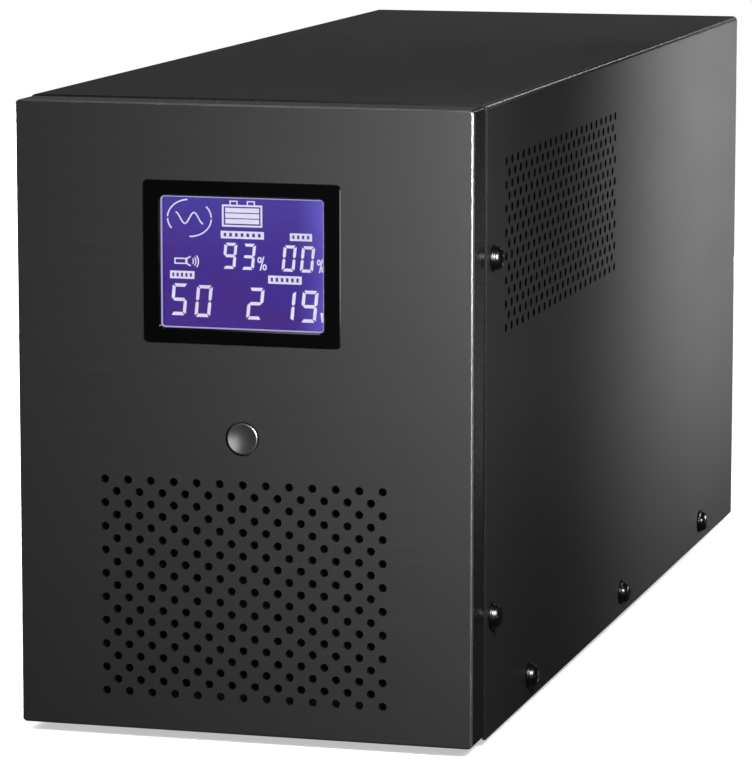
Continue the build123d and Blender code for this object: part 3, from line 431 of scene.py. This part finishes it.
# ------------------------------------------------------------------ one material for each slot
LOOKS = {
    "cover_paint": (powder_coat, dict(colour=(0.012, 0.012, 0.012), node="cover", axis="X")),
    "fascia_paint": (brushed_fascia, dict(colour=(0.045, 0.045, 0.045))),
    "bezel_plastic": (textured, dict(colour=(0.005, 0.005, 0.005), roughness=0.30, scale=2200.0,
                                     distance=0.005 * MM)),
    "gloss_black": (textured, dict(colour=(0.0015, 0.0015, 0.0016), roughness=0.08, scale=500.0,
                                   distance=0.001 * MM, spread=0.02)),
    "clear_lens": (clear_lens, dict(colour=(1.0, 1.0, 1.0))),
    "lcd_cell": (display_cell, dict(colour=(0.001, 0.001, 0.003))),
    "lcd_segments": (lit_segments, dict(colour=(0.78, 0.74, 0.92))),
    # painted light: the lens bevel glows by its own emission, though it is no lamp
    "lens_edge": (lit_segments, dict(colour=(0.36, 0.34, 0.62))),
    "light_guide": (textured, dict(colour=(0.80, 0.80, 0.78), roughness=0.45)),
    "button_metal": (textured, dict(colour=(0.72, 0.72, 0.72), roughness=0.30, metallic=1.0,
                                    distance=0.001 * MM, vary=0.02, spread=0.02)),
    "black_screws": (textured, dict(colour=(0.09, 0.09, 0.09), roughness=0.27, metallic=1.0,
                                    distance=0.001 * MM, spread=0.02)),
    "zinc_screws": (drawn_metal, dict(colour=(0.62, 0.62, 0.58), stretch=(1, 1, 1))),
    "galvanised_steel": (galvanised, dict(colour=(0.55, 0.56, 0.57))),
    "panel_paint": (powder_coat, dict(colour=(0.014, 0.014, 0.014), node="rear_panel",
                                      axis="Y")),
    "rubber_black": (textured, dict(colour=(0.018, 0.018, 0.018), roughness=0.85, scale=1500.0,
                                    distance=0.06 * MM)),
    "battery_case": (textured, dict(colour=(0.030, 0.031, 0.034), roughness=0.48, scale=2600.0,
                                    distance=0.03 * MM)),
    "lead_tab": (drawn_metal, dict(colour=(0.60, 0.60, 0.60), roughness=0.34)),
    "connector_boot": (textured, dict(colour=(0.45, 0.02, 0.015), roughness=0.5)),
    "foam": (foam_pad, dict(colour=(0.05, 0.05, 0.055))),
    "black_wire": (textured, dict(colour=(0.010, 0.010, 0.010), roughness=0.40, scale=700.0)),
    "red_wire": (textured, dict(colour=(0.50, 0.010, 0.008), roughness=0.38, scale=700.0)),
    "blue_wire": (textured, dict(colour=(0.012, 0.05, 0.32), roughness=0.38, scale=700.0)),
    "ribbon_grey": (striped, dict(colour=(0.36, 0.36, 0.38), other=(0.16, 0.16, 0.17), axis="X",
                                  pitch=1.27 * MM, roughness=0.5)),
    "circuit_board": (circuit_board, dict(colour=(0.008, 0.075, 0.030))),
    "spring_steel": (drawn_metal, dict(colour=(0.60, 0.60, 0.62), roughness=0.22)),
    "switch_plastic": (textured, dict(colour=(0.014, 0.014, 0.015), roughness=0.45,
                                      scale=2400.0)),
    "brass_pillar": (drawn_metal, dict(colour=(0.72, 0.50, 0.20), roughness=0.25)),
    "heat_sink_aluminium": (drawn_metal, dict(colour=(0.74, 0.75, 0.76), roughness=0.36)),
    "component_black": (textured, dict(colour=(0.016, 0.016, 0.017), roughness=0.55,
                                       scale=2600.0)),
    "relay_blue": (textured, dict(colour=(0.010, 0.09, 0.35), roughness=0.35, scale=1200.0)),
    "capacitor_sleeve": (striped, dict(colour=(0.012, 0.013, 0.016), other=(0.05, 0.05, 0.06),
                                       axis="X", pitch=16 * MM, roughness=0.3, depth=0.0)),
    "fuse_orange": (textured, dict(colour=(0.80, 0.16, 0.01), roughness=0.3)),
    "connector_white": (textured, dict(colour=(0.72, 0.70, 0.64), roughness=0.5, scale=1800.0)),
    "core_steel": (striped, dict(colour=(0.16, 0.16, 0.17), other=(0.05, 0.045, 0.04), axis="Y",
                                 pitch=0.5 * MM, roughness=0.45, metallic=0.7,
                                 depth=0.05 * MM)),
    "bobbin_nylon": (textured, dict(colour=(0.05, 0.05, 0.05), roughness=0.5, scale=1500.0)),
    "copper_winding": (striped, dict(colour=(0.60, 0.22, 0.08), other=(0.12, 0.03, 0.01),
                                     axis="Z", pitch=1.3 * MM, roughness=0.3, metallic=0.8,
                                     depth=0.35 * MM)),
    "bearing_bronze": (drawn_metal, dict(colour=(0.50, 0.32, 0.14), roughness=0.4)),
    "guard_wire": (drawn_metal, dict(colour=(0.66, 0.66, 0.67), roughness=0.2,
                                     stretch=(1, 1, 1))),
    "socket_plastic": (textured, dict(colour=(0.013, 0.013, 0.014), roughness=0.5,
                                      scale=2800.0, distance=0.03 * MM)),
    "nut_plastic": (textured, dict(colour=(0.016, 0.016, 0.017), roughness=0.4, scale=1600.0)),
    "button_white": (textured, dict(colour=(0.74, 0.73, 0.70), roughness=0.35, scale=1500.0,
                                    vary=0.04)),
    "port_shell": (drawn_metal, dict(colour=(0.66, 0.66, 0.65), roughness=0.32)),
}
MATERIALS = {slot: make(slot, **settings) for slot, (make, settings) in LOOKS.items()}
for node, piece in NODES.items():
    piece.data.materials.clear()
    piece.data.materials.append(MATERIALS[SLOT_OF[node]])


# ------------------------------------------------------------------ mesh helpers
def link_piece(name, mesh, slot, look=None, replaced=()):
    """Object for a finished mesh, riding on the case and standing for CAD nodes."""
    piece = bpy.data.objects.new(name, mesh)
    bpy.context.scene.collection.objects.link(piece)
    piece.data.materials.clear()
    piece.data.materials.append(MATERIALS[look or slot])
    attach(piece, "case")
    if replaced:
        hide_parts(*replaced)
    return piece


def mesh_from(bm, name, smooth_angle=0.0):
    """Mesh from a bmesh, smooth where its faces meet at less than an angle."""
    bmesh.ops.recalc_face_normals(bm, faces=bm.faces)
    mesh = bpy.data.meshes.new(name)
    for face in bm.faces:
        face.smooth = smooth_angle > 0
    for edge in bm.edges:
        edge.smooth = edge.is_manifold and edge.calc_face_angle() < smooth_angle
    bm.to_mesh(mesh)
    bm.free()
    return mesh


def loft(bm, rings, closed=False):
    """Faces between rings of vertices; a ring of one vertex is a pole."""
    pairs = list(zip(rings, rings[1:]))
    if closed:
        pairs.append((rings[-1], rings[0]))
    for low, high in pairs:
        steps = max(len(low), len(high))
        for step in range(steps):
            after = (step + 1) % steps
            corners = [low[step % len(low)], low[after % len(low)],
                       high[after % len(high)], high[step % len(high)]]
            bm.faces.new(list(dict.fromkeys(corners)))


def lathe(bm, profile, steps=64):
    """Solid of a profile of (radius, height) points turned about Z; both ends are on it."""
    rings = []
    for radius, height in profile:
        count = steps if radius > 0 else 1
        ring = []
        for step in range(count):
            turn = 2 * math.pi * step / steps
            ring.append(bm.verts.new((radius * math.cos(turn), radius * math.sin(turn), height)))
        rings.append(ring)
    loft(bm, rings)


def arc_points(centre, radius, start, end, steps):
    """Points (radius, height) of a profile's arc, angles in degrees."""
    turns = [math.radians(start + (end - start) * step / steps) for step in range(steps + 1)]
    return [(centre[0] + radius * math.cos(turn), centre[1] + radius * math.sin(turn))
            for turn in turns]


def tube(bm, points, radius, closed=False, steps=16):
    """Round wire along points, with flat ends unless it is closed."""
    count = len(points)
    rings = []
    for i, point in enumerate(points):
        before = points[i - 1] if closed or i > 0 else point
        after = points[(i + 1) % count] if closed or i < count - 1 else point
        along = (after - before).normalized()
        side = along.cross(Vector((0, 1, 0))).normalized()
        up = side.cross(along)
        ring = []
        for step in range(steps):
            turn = 2 * math.pi * step / steps
            ring.append(bm.verts.new(point + radius * (side * math.cos(turn) + up * math.sin(turn))))
        rings.append(ring)
    loft(bm, rings, closed)
    if not closed:
        bm.faces.new(rings[0])
        bm.faces.new(rings[-1])


def clusters(node, reach):
    """Boxes of a CAD node's separate solids, in order, which lie further apart than the reach."""
    groups = []
    for vertex in NODES[node].data.vertices:
        point = vertex.co
        for group in groups:
            if (group[0] - point).length < reach:
                group.append(point)
                break
        else:
            groups.append([point])
    boxes = []
    for group in groups:
        low = Vector([min(point[axis] for point in group) for axis in range(3)])
        high = Vector([max(point[axis] for point in group) for axis in range(3)])
        boxes.append((low, high))
    return sorted(boxes, key=lambda box: tuple(round(value, 4) for value in box[0]))


# ------------------------------------------------------------------ display graphics
VIEW_W, VIEW_H = 51.8, 40.5         # visible part of the display, millimetres
VIEW_R = 1.2                        # its corner radius
GRAPHIC_T = 0.08                    # thickness of the graphics on the cell
GRAPHIC_GAP = 0.02                  # and the air behind them
SLANT = math.tan(math.radians(5.8))
SEGMENTS = {"0": "abcdef", "1": "bc", "2": "abdeg", "3": "abcdg", "5": "acdfg", "9": "abcdfg"}
LCD_LOW, LCD_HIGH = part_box("lcd_frame")
VIEW_LEFT = (LCD_LOW.x + LCD_HIGH.x) / 2 - VIEW_W / 2 * MM
VIEW_TOP = (LCD_LOW.z + LCD_HIGH.z) / 2 + VIEW_H / 2 * MM
CELL_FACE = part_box("lcd_glass")[0].y


def slab(bm, outline, back, thick):
    """Thin plate facing -Y; its outline is in millimetres right of and below the view's corner."""
    rings = []
    for y in (back - thick, back):
        rings.append([bm.verts.new((VIEW_LEFT + u * MM, y, VIEW_TOP - v * MM))
                      for u, v in outline])
    bm.faces.new(rings[0])
    bm.faces.new(rings[1])
    loft(bm, rings)


def graphic(bm, outline):
    """One lit shape on the face of the cell."""
    slab(bm, outline, CELL_FACE - GRAPHIC_GAP * MM, GRAPHIC_T * MM)


def bar(bm, u0, u1, v0, v1):
    """Rectangular graphic."""
    graphic(bm, [(u0, v0), (u1, v0), (u1, v1), (u0, v1)])


def hollow_bar(bm, u0, u1, v0, v1, wall):
    """Rectangular outline from four bars."""
    bar(bm, u0, u1, v0, v0 + wall)
    bar(bm, u0, u1, v1 - wall, v1)
    bar(bm, u0, u0 + wall, v0 + wall, v1 - wall)
    bar(bm, u1 - wall, u1, v0 + wall, v1 - wall)


def band_arc(bm, centre, radii, wide, start, end, steps=24):
    """Curved stroke along part of an ellipse, angles in degrees from the right, upwards."""
    edges = []
    for offset in (wide / 2, -wide / 2):
        line = []
        for step in range(steps + 1):
            turn = math.radians(start + (end - start) * step / steps)
            line.append((centre[0] + (radii[0] + offset) * math.cos(turn),
                         centre[1] - (radii[1] + offset) * math.sin(turn)))
        edges.append(line)
    graphic(bm, edges[0] + edges[1][::-1])


def digit(bm, mark, u, v, width, height, stroke):
    """Seven-segment figure with mitred, chamfered ends, leaning to the right."""
    gap, cut, half, middle = 0.07, 0.42 * stroke, stroke / 2, height / 2
    top = [(cut + gap, 0), (width - cut - gap, 0), (width - stroke - gap, stroke),
           (stroke + gap, stroke)]
    centre = [(half + gap, middle), (stroke + gap, middle - half),
              (width - stroke - gap, middle - half), (width - half - gap, middle),
              (width - stroke - gap, middle + half), (stroke + gap, middle + half)]
    left = [(0, cut + gap), (stroke, stroke + gap), (stroke, middle - half - gap),
            (half, middle - gap), (0, middle - half - gap)]
    right = [(width - x, y) for x, y in left]
    shapes = {"a": top, "g": centre, "f": left, "b": right,
              "d": [(x, height - y) for x, y in top],
              "e": [(x, height - y) for x, y in left],
              "c": [(x, height - y) for x, y in right]}
    for segment in SEGMENTS[mark]:
        graphic(bm, [(u + x + (height - y) * SLANT, v + y) for x, y in shapes[segment]])


def percent(bm, u, v, width, height):
    """Percent sign: a leaning stroke between two small rings."""
    wide = 0.42
    lean = 0.45 * width
    graphic(bm, [(u + lean / 2 + width / 2, v), (u + lean / 2 + width / 2 + wide, v),
                 (u + width / 2 - lean / 2 + wide, v + height),
                 (u + width / 2 - lean / 2, v + height)])
    ring = (0.20 * width, 0.17 * height)
    for centre in ((u + 0.28 * width, v + 0.25 * height), (u + 0.92 * width, v + 0.76 * height)):
        for start in (3, 183):
            band_arc(bm, centre, ring, wide, start, start + 174, 10)


def label(bm, u0, u1, v0, v1, blocks):
    """Lit bar with a row of dark blocks in it, where a printed label would be."""
    rim = 0.26 * (v1 - v0)
    bar(bm, u0, u1, v0, v0 + rim)
    bar(bm, u0, u1, v1 - rim, v1)
    step = (u1 - u0) / (blocks + 0.5)
    bar(bm, u0, u0 + 0.5 * step, v0 + rim, v1 - rim)
    for i in range(blocks):
        start = u0 + (i + 0.94) * step
        end = u1 if i == blocks - 1 else start + 0.52 * step
        bar(bm, start, end, v0 + rim, v1 - rim)


def wave_icon(bm):
    """Broken oval round a sine wave."""
    centre, radii, stroke = (8.7, 6.9), (7.0, 5.65), 0.42
    for start, end in ((95, 177), (183, 215), (40, 3), (-3, -90)):
        band_arc(bm, centre, radii, stroke, start, end)
    steps, reach, tall = 32, 4.4, 1.7
    upper, lower = [], []
    for step in range(steps + 1):
        along = -1 + 2 * step / steps
        u, v = centre[0] + reach * along, centre[1] - tall * math.sin(math.pi * along * 1.5)
        slope = -tall * math.pi * 1.5 / reach * math.cos(math.pi * along * 1.5)
        scale = stroke / 2 / math.hypot(1, slope)
        upper.append((u + slope * scale, v - scale))
        lower.append((u - slope * scale, v + scale))
    graphic(bm, upper + lower[::-1])


def battery_icon(bm):
    """Battery outline with two terminals and three charge bars."""
    hollow_bar(bm, 19.1, 31.9, 2.45, 9.2, 0.55)
    for v0 in (3.42, 5.12, 6.82):
        bar(bm, 20.15, 30.9, v0, v0 + 1.4)
    for u0 in (21.5, 27.0):
        bar(bm, u0, u0 + 2.6, 1.2, 1.55)
        bar(bm, u0, u0 + 0.4, 1.55, 2.42)
        bar(bm, u0 + 2.2, u0 + 2.6, 1.55, 2.42)


def horn_icon(bm):
    """Sounder: a body, its flare and three sound waves."""
    hollow_bar(bm, 3.8, 7.7, 19.2, 21.1, 0.38)
    graphic(bm, [(7.7, 19.2), (8.9, 18.5), (9.1, 18.9), (8.0, 19.5), (8.0, 20.8), (9.1, 21.4),
                 (8.9, 21.8), (7.7, 21.1)])
    for radius in (1.3, 2.1, 2.9):
        band_arc(bm, (8.6, 20.15), (radius, radius), 0.34, -38, 38, 10)


# left, right, top and bottom of each label, and how many blocks it has
LABELS = ((18.7, 32.4, 10.5, 12.8, 7), (40.6, 47.6, 10.6, 12.9, 4), (2.4, 10.2, 23.2, 25.6, 5),
          (33.7, 44.3, 23.7, 26.2, 6))
# figure, and the left and top of its box
SMALL_FIGURES = (("9", 19.1, 14.1), ("3", 25.0, 14.2), ("0", 37.9, 14.3), ("0", 43.7, 14.4))
LARGE_FIGURES = (("5", 2.3, 27.1), ("0", 10.1, 27.4), ("2", 26.6, 27.6), ("1", 36.6, 27.9),
                 ("9", 43.7, 27.9))
SMALL_SIZE = (4.1, 8.0, 0.9)        # width, height and stroke
LARGE_SIZE = (5.0, 9.8, 1.0)


def display_graphics():
    """Every lit shape on the cell, as one piece."""
    bm = bmesh.new()
    wave_icon(bm)
    battery_icon(bm)
    horn_icon(bm)
    for place in LABELS:
        label(bm, *place)
    for place in SMALL_FIGURES:
        digit(bm, *place, *SMALL_SIZE)
    percent(bm, 30.3, 18.0, 2.5, 4.3)
    percent(bm, 49.1, 18.2, 2.2, 4.2)
    for place in LARGE_FIGURES:
        digit(bm, *place, *LARGE_SIZE)
    graphic(bm, [(50.2, 34.6), (51.2, 34.6), (51.2, 37.5), (50.6, 37.5)])
    link_piece("display_graphics", mesh_from(bm, "display_graphics"), "lcd_cell",
               look="lcd_segments")


def rounded_outline(inset, steps=8):
    """Outline of the view with rounded corners, moved inwards."""
    outline = []
    corners = ((VIEW_W - VIEW_R, VIEW_R, 90), (VIEW_R, VIEW_R, 180),
               (VIEW_R, VIEW_H - VIEW_R, 270), (VIEW_W - VIEW_R, VIEW_H - VIEW_R, 360))
    for u, v, end in corners:
        for step in range(steps + 1):
            turn = math.radians(end - 90 + 90 * step / steps)
            outline.append((u + (VIEW_R - inset) * math.cos(turn),
                            v - (VIEW_R - inset) * math.sin(turn)))
    return outline


def lens_bevel():
    """Polished bevel round the lens, with painted light: it glows by its own emission, as backlight
    piped to the rim of the view would.
    """
    bm = bmesh.new()
    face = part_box("lcd_window")[0].y
    outer, inner = 0.03, 0.40            # insets from the edge of the view, millimetres
    back, crest, lip = 0.04, 0.55, 0.06  # how far each ring stands in front of the lens
    rings = []
    for inset, proud in ((outer, back), (outer, crest), (inner, lip), (inner, back)):
        rings.append([bm.verts.new((VIEW_LEFT + u * MM, face - proud * MM, VIEW_TOP - v * MM))
                      for u, v in rounded_outline(inset)])
    loft(bm, rings, closed=True)
    link_piece("lens_bevel", mesh_from(bm, "lens_bevel", math.radians(30)), "clear_lens",
               look="lens_edge")


# ------------------------------------------------------------------ screws
THREAD_PITCH = 0.7                  # millimetres, as are the sizes below
COVER_SCREW = dict(shank=2.0, length=6.0, head=4.25, height=3.1)
REAR_SCREW = dict(shank=1.5, length=5.0, head=3.0, height=2.0)
FAN_SCREW = dict(shank=2.0, length=12.0, head=3.6, height=2.4)
SCREW_ROLLS = (8, 37, 61, 22, 80)   # degrees that each cross is turned from the next


def thread_profile(radius, length, pitch):
    """Shank below z = 0 from its tip up: a thread's ridges as rings."""
    points = [(0, -length), (radius * 0.7, -length)]
    count = int((length - pitch) / pitch)
    for i in range(count):
        z = -length + (i + 0.5) * pitch
        points += [(radius * 0.82, z), (radius, z + pitch / 2)]
    return points + [(radius * 0.82, -pitch * 0.4), (radius * 0.82, 0)]


def screw_mesh(name, shank, length, head, height):
    """Flanged pan-head screw in millimetres: head up from z = 0, tapered cross recess."""
    flange = 0.30 * height
    dome = 0.84 * head
    profile = thread_profile(shank, length, THREAD_PITCH)
    profile += [(head - 0.15, 0)]
    profile += arc_points((head - flange / 2, flange / 2), flange / 2, -60, 90, 8)
    profile += [(dome + 0.12, flange), (dome, flange + 0.15)]
    profile += arc_points((dome - 0.62 * height, height * 0.38), 0.62 * height, 12, 68, 10)
    profile += [(0.30 * dome, height * 0.995), (0, height)]
    bm = bmesh.new()
    lathe(bm, profile, 72)
    mesh = mesh_from(bm, name, math.radians(35))
    return carve_cross(mesh, dome, height)


def carve_cross(mesh, dome, height):
    """Cut a tapered cross recess into the top of a head."""
    long, wide, deep = 0.56 * dome, 0.12 * dome, 0.50 * height
    outline = [(long, wide), (wide, wide), (wide, long), (-wide, long), (-wide, wide),
               (-long, wide), (-long, -wide), (-wide, -wide), (-wide, -long), (wide, -long),
               (wide, -wide), (long, -wide)]
    bm = bmesh.new()
    rings = []
    for scale, z in ((0.50, height - deep), (1.05, height + 0.2)):
        rings.append([bm.verts.new((x * scale, y * scale, z)) for x, y in outline])
    bm.faces.new(rings[0])
    bm.faces.new(rings[1])
    loft(bm, rings)
    cutter = bpy.data.objects.new("cutter", mesh_from(bm, "cutter"))
    head = bpy.data.objects.new("head", mesh)
    for item in (cutter, head):
        bpy.context.scene.collection.objects.link(item)
    cut = head.modifiers.new("recess", "BOOLEAN")
    cut.object = cutter
    cut.operation = "DIFFERENCE"
    cut.solver = "EXACT"
    bpy.context.view_layer.update()
    carved = bpy.data.meshes.new_from_object(head.evaluated_get(
        bpy.context.evaluated_depsgraph_get()))
    bpy.data.objects.remove(head)
    bpy.data.objects.remove(cutter)
    return carved


def place_copies(name, mesh, places, slot, replaced):
    """One piece from copies of a millimetre mesh: places are (point, axis) pairs in metres."""
    bm = bmesh.new()
    for i, (point, axis) in enumerate(places):
        first = len(bm.verts)
        bm.from_mesh(mesh)
        bm.verts.ensure_lookup_table()
        roll = Matrix.Rotation(math.radians(SCREW_ROLLS[i % len(SCREW_ROLLS)]), 4, "Z")
        turn = axis.to_track_quat("Z", "X").to_matrix().to_4x4()
        move = Matrix.Translation(point) @ turn @ roll @ Matrix.Scale(MM, 4)
        bmesh.ops.transform(bm, matrix=move, verts=bm.verts[first:])
    joined = bpy.data.meshes.new(name)
    bm.to_mesh(joined)
    bm.free()
    link_piece(name, joined, slot, replaced=(replaced,))


def cover_screw_heads():
    """Screws on both sides of the cover, heads outwards."""
    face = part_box("cover")[1].x
    places = []
    for low, high in clusters("cover_screws", 12 * MM):
        side = 1 if low.x > 0 else -1
        middle = (low + high) / 2
        places.append((Vector((side * face, middle.y, middle.z)), Vector((side, 0, 0))))
    mesh = screw_mesh("cover_screw", **COVER_SCREW)
    place_copies("cover_screw_heads", mesh, places, "black_screws", "cover_screws")


def rear_screw_heads(name, node, screw):
    """Screws of one node through the back, heads towards the rear."""
    places = []
    for low, high in clusters(node, screw["length"] / 2 * MM + 10 * MM):
        middle = (low + high) / 2
        face = high.y - screw["height"] * MM
        places.append((Vector((middle.x, face, middle.z)), Vector((0, 1, 0))))
    place_copies(name, screw_mesh(name, **screw), places, "black_screws", node)


# ------------------------------------------------------------------ button spring
SPRING_WIRE = 0.44 * MM
SPRING_TURNS = 4


def return_spring():
    """Coil spring behind the power button, with a mesh of its own."""
    low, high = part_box("button_spring")
    centre = (low + high) / 2
    radius = (high.x - low.x - SPRING_WIRE) / 2
    start, length = low.y + SPRING_WIRE / 2, high.y - low.y - SPRING_WIRE
    steps = int(SPRING_TURNS * 32)
    points = []
    for step in range(steps + 1):
        turn = 2 * math.pi * SPRING_TURNS * step / steps
        along = start + length * step / steps
        points.append(Vector((centre.x + radius * math.cos(turn), along,
                              centre.z + radius * math.sin(turn))))
    bm = bmesh.new()
    tube(bm, points, SPRING_WIRE / 2, steps=10)
    mesh = mesh_from(bm, "return_spring", math.radians(50))
    piece = link_piece("return_spring", mesh, "spring_steel", replaced=("button_spring",))
    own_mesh(piece)


# ------------------------------------------------------------------ fan guard
GUARD_WIRE = 0.8 * MM               # radius of the wire
GUARD_RINGS = (9, 18, 27, 36)       # radii, millimetres
GUARD_EYE = 3.1 * MM


def fan_guard_wires():
    """Welded round-wire guard: four rings on two crossed bars that end in screw eyes."""
    low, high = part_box("fan_guard")
    centre = (low + high) / 2
    rings_y, bars_y = high.y - GUARD_WIRE, high.y - 2.25 * GUARD_WIRE
    eyes = clusters("fan_screws", 15 * MM)
    bm = bmesh.new()
    for radius in GUARD_RINGS:
        ring = circle_points(Vector((centre.x, rings_y, centre.z)), radius * MM, 96)
        tube(bm, ring, GUARD_WIRE, closed=True)
    for eye_low, eye_high in eyes:
        middle = (eye_low + eye_high) / 2
        eye = Vector((middle.x, low.y + GUARD_WIRE, middle.z))
        tube(bm, circle_points(eye, GUARD_EYE, 40), GUARD_WIRE, closed=True)
        hub = Vector((centre.x, bars_y, centre.z))
        out = (Vector((eye.x, hub.y, eye.z)) - hub).normalized()
        reach = (Vector((eye.x, hub.y, eye.z)) - hub).length
        path = [hub + out * (reach * share) for share in (0.02, 0.35, 0.70, 0.86)]
        drop = Vector((0, eye.y - hub.y, 0))
        path += [hub + out * (reach * 0.90) + drop * 0.5, hub + out * (reach - 2.7 * MM) + drop]
        tube(bm, path, GUARD_WIRE)
    mesh = mesh_from(bm, "fan_guard_wires", math.radians(50))
    link_piece("fan_guard_wires", mesh, "guard_wire", replaced=("fan_guard",))


def circle_points(centre, radius, steps):
    """Points on a circle that faces Y."""
    turns = [2 * math.pi * step / steps for step in range(steps)]
    return [centre + radius * Vector((math.cos(turn), 0, math.sin(turn))) for turn in turns]


# ------------------------------------------------------------------ studio
FLOOR_REACH = 9.0        # flat floor round the object, metres
DOME_TOP = 9.0
SHADE_REACH = 7 * MM     # how near to the case the floor is in its shade
SHADE_GLOW = 0.49        # glow of the paper there, and of the rest
PAPER_GLOW = 1.0
WORLD_FILL = 0.03


def make_studio():
    """Pale floor that curves up into a dome; only the camera sees its glow."""
    bm = bmesh.new()
    profile = [(0, 0), (1.5, 0), (FLOOR_REACH, 0)]
    profile += arc_points((FLOOR_REACH, DOME_TOP / 3), DOME_TOP / 3, -80, 0, 8)
    profile += [(FLOOR_REACH + 1, DOME_TOP * 0.8), (FLOOR_REACH * 0.5, DOME_TOP * 1.2),
                (0, DOME_TOP * 1.3)]
    lathe(bm, profile, 96)
    studio = bpy.data.objects.new("studio", mesh_from(bm, "studio", math.radians(60)))
    bpy.context.scene.collection.objects.link(studio)
    studio.data.materials.append(studio_paper())
    studio.visible_glossy = False
    studio.visible_diffuse = False
    studio.visible_shadow = False


def studio_paper():
    """White paper that glows evenly, with painted shade close under the case: the glow dims where
    the case hides the sky.
    """
    material, tree, shader = new_material("studio")
    shader.inputs["Base Color"].default_value = (0.9, 0.9, 0.9, 1)
    shader.inputs["Roughness"].default_value = 0.9
    shader.inputs["Specular IOR Level"].default_value = 0.0
    shader.inputs["Emission Color"].default_value = (1, 1, 1, 1)
    # painted shade: ambient occlusion dims the paper's glow near the case
    open_air = add_node(tree, "AmbientOcclusion", Distance=SHADE_REACH)
    deep_shade, full_light = 0.25, 0.5      # shares of the sky that a point of the paper sees
    glow = remap(tree, open_air.outputs["AO"], SHADE_GLOW, PAPER_GLOW, deep_shade, full_light)
    tree.links.new(glow, shader.inputs["Emission Strength"])
    return material


# name: place, target, width and height in metres, power in watts
PANELS = {
    "card": ((0.16, -1.33, 0.13), (0.0, -0.21, 0.10), 0.64, 0.55, 0.62),
    "front_right": ((0.20, -0.36, 0.22), (0.05, -0.21, 0.10), 0.10, 0.10, 1.4),
    "back": ((-0.50, 1.50, 0.70), (0.0, 0.20, 0.10), 0.80, 0.80, 0.33),
    "rear_fill": ((-0.22, 1.00, -0.02), (-0.05, 0.21, 0.08), 0.50, 0.30, 4.0),
    "left_fill": ((-1.00, 0.30, 0.00), (-0.08, 0.10, 0.08), 0.80, 0.34, 7.0),
}
# name: place, target, cone in degrees, radius in metres, power in watts
SPOTS = {
    "front_high": ((0.35, -1.00, 0.55), (0.12, -0.21, 0.18), 36, 0.20, 5.4),
    "side_rear": ((0.60, 0.55, 0.20), (0.0755, 0.24, 0.18), 40, 0.05, 18.0),
    "side_top": ((0.45, 0.30, 0.25), (0.0755, 0.24, 0.18), 56, 0.05, 14.0),
    "side_low": ((0.60, 0.50, 0.08), (0.0755, 0.24, 0.03), 46, 0.05, 9.0),
    "cover_edge": ((0.31, 1.43, 0.59), (0.0755, 0.00, 0.198), 24, 0.06, 1.1),
    "plate_edge": ((1.00, -0.47, 0.05), (0.0755, -0.21, 0.11), 22, 0.06, 0.75),
    "plate_top": ((-0.25, -0.40, 1.10), (0.0, -0.21, 0.198), 18, 0.06, 0.4),
    "graze_low": ((0.23, 0.75, -0.05), (0.12, 0.21, 0.12), 24, 0.05, 0.10),
    "graze_mid": ((0.25, 0.55, 0.05), (0.0755, 0.24, 0.16), 50, 0.05, 0.04),
}


def place_light(name, data, place, target, power):
    """Lamp aimed at a point; the camera doesn't see it."""
    data.energy = power
    light = bpy.data.objects.new(name, data)
    bpy.context.scene.collection.objects.link(light)
    light.location = place
    aim = Vector(target) - Vector(place)
    light.rotation_euler = aim.to_track_quat("-Z", "Y").to_euler()
    light.visible_camera = False


def make_panel(name, place, target, width, height, power):
    """Rectangular soft light."""
    data = bpy.data.lights.new(name, "AREA")
    data.shape = "RECTANGLE"
    data.size = width
    data.size_y = height
    place_light(name, data, place, target, power)


def make_spot(name, place, target, cone, radius, power):
    """Spotlight that fades evenly from its middle to its cone's edge."""
    data = bpy.data.lights.new(name, "SPOT")
    data.spot_size = math.radians(cone)
    data.spot_blend = 1.0
    data.shadow_soft_size = radius
    place_light(name, data, place, target, power)


def make_world():
    """Dim even fill."""
    world = bpy.data.worlds.new("world")
    world.use_nodes = True
    background = world.node_tree.nodes["Background"]
    background.inputs["Color"].default_value = (0.95, 0.95, 0.95, 1)
    background.inputs["Strength"].default_value = WORLD_FILL
    bpy.context.scene.world = world


# ------------------------------------------------------------------ build everything
display_graphics()
lens_bevel()
cover_screw_heads()
rear_screw_heads("rear_screw_heads", "rear_screws", REAR_SCREW)
rear_screw_heads("fan_screw_heads", "fan_screws", FAN_SCREW)
return_spring()
fan_guard_wires()
make_camera()
make_studio()
for name, settings in PANELS.items():
    make_panel(name, *settings)
for name, settings in SPOTS.items():
    make_spot(name, *settings)
make_world()
bpy.context.scene.view_settings.view_transform = "Standard"
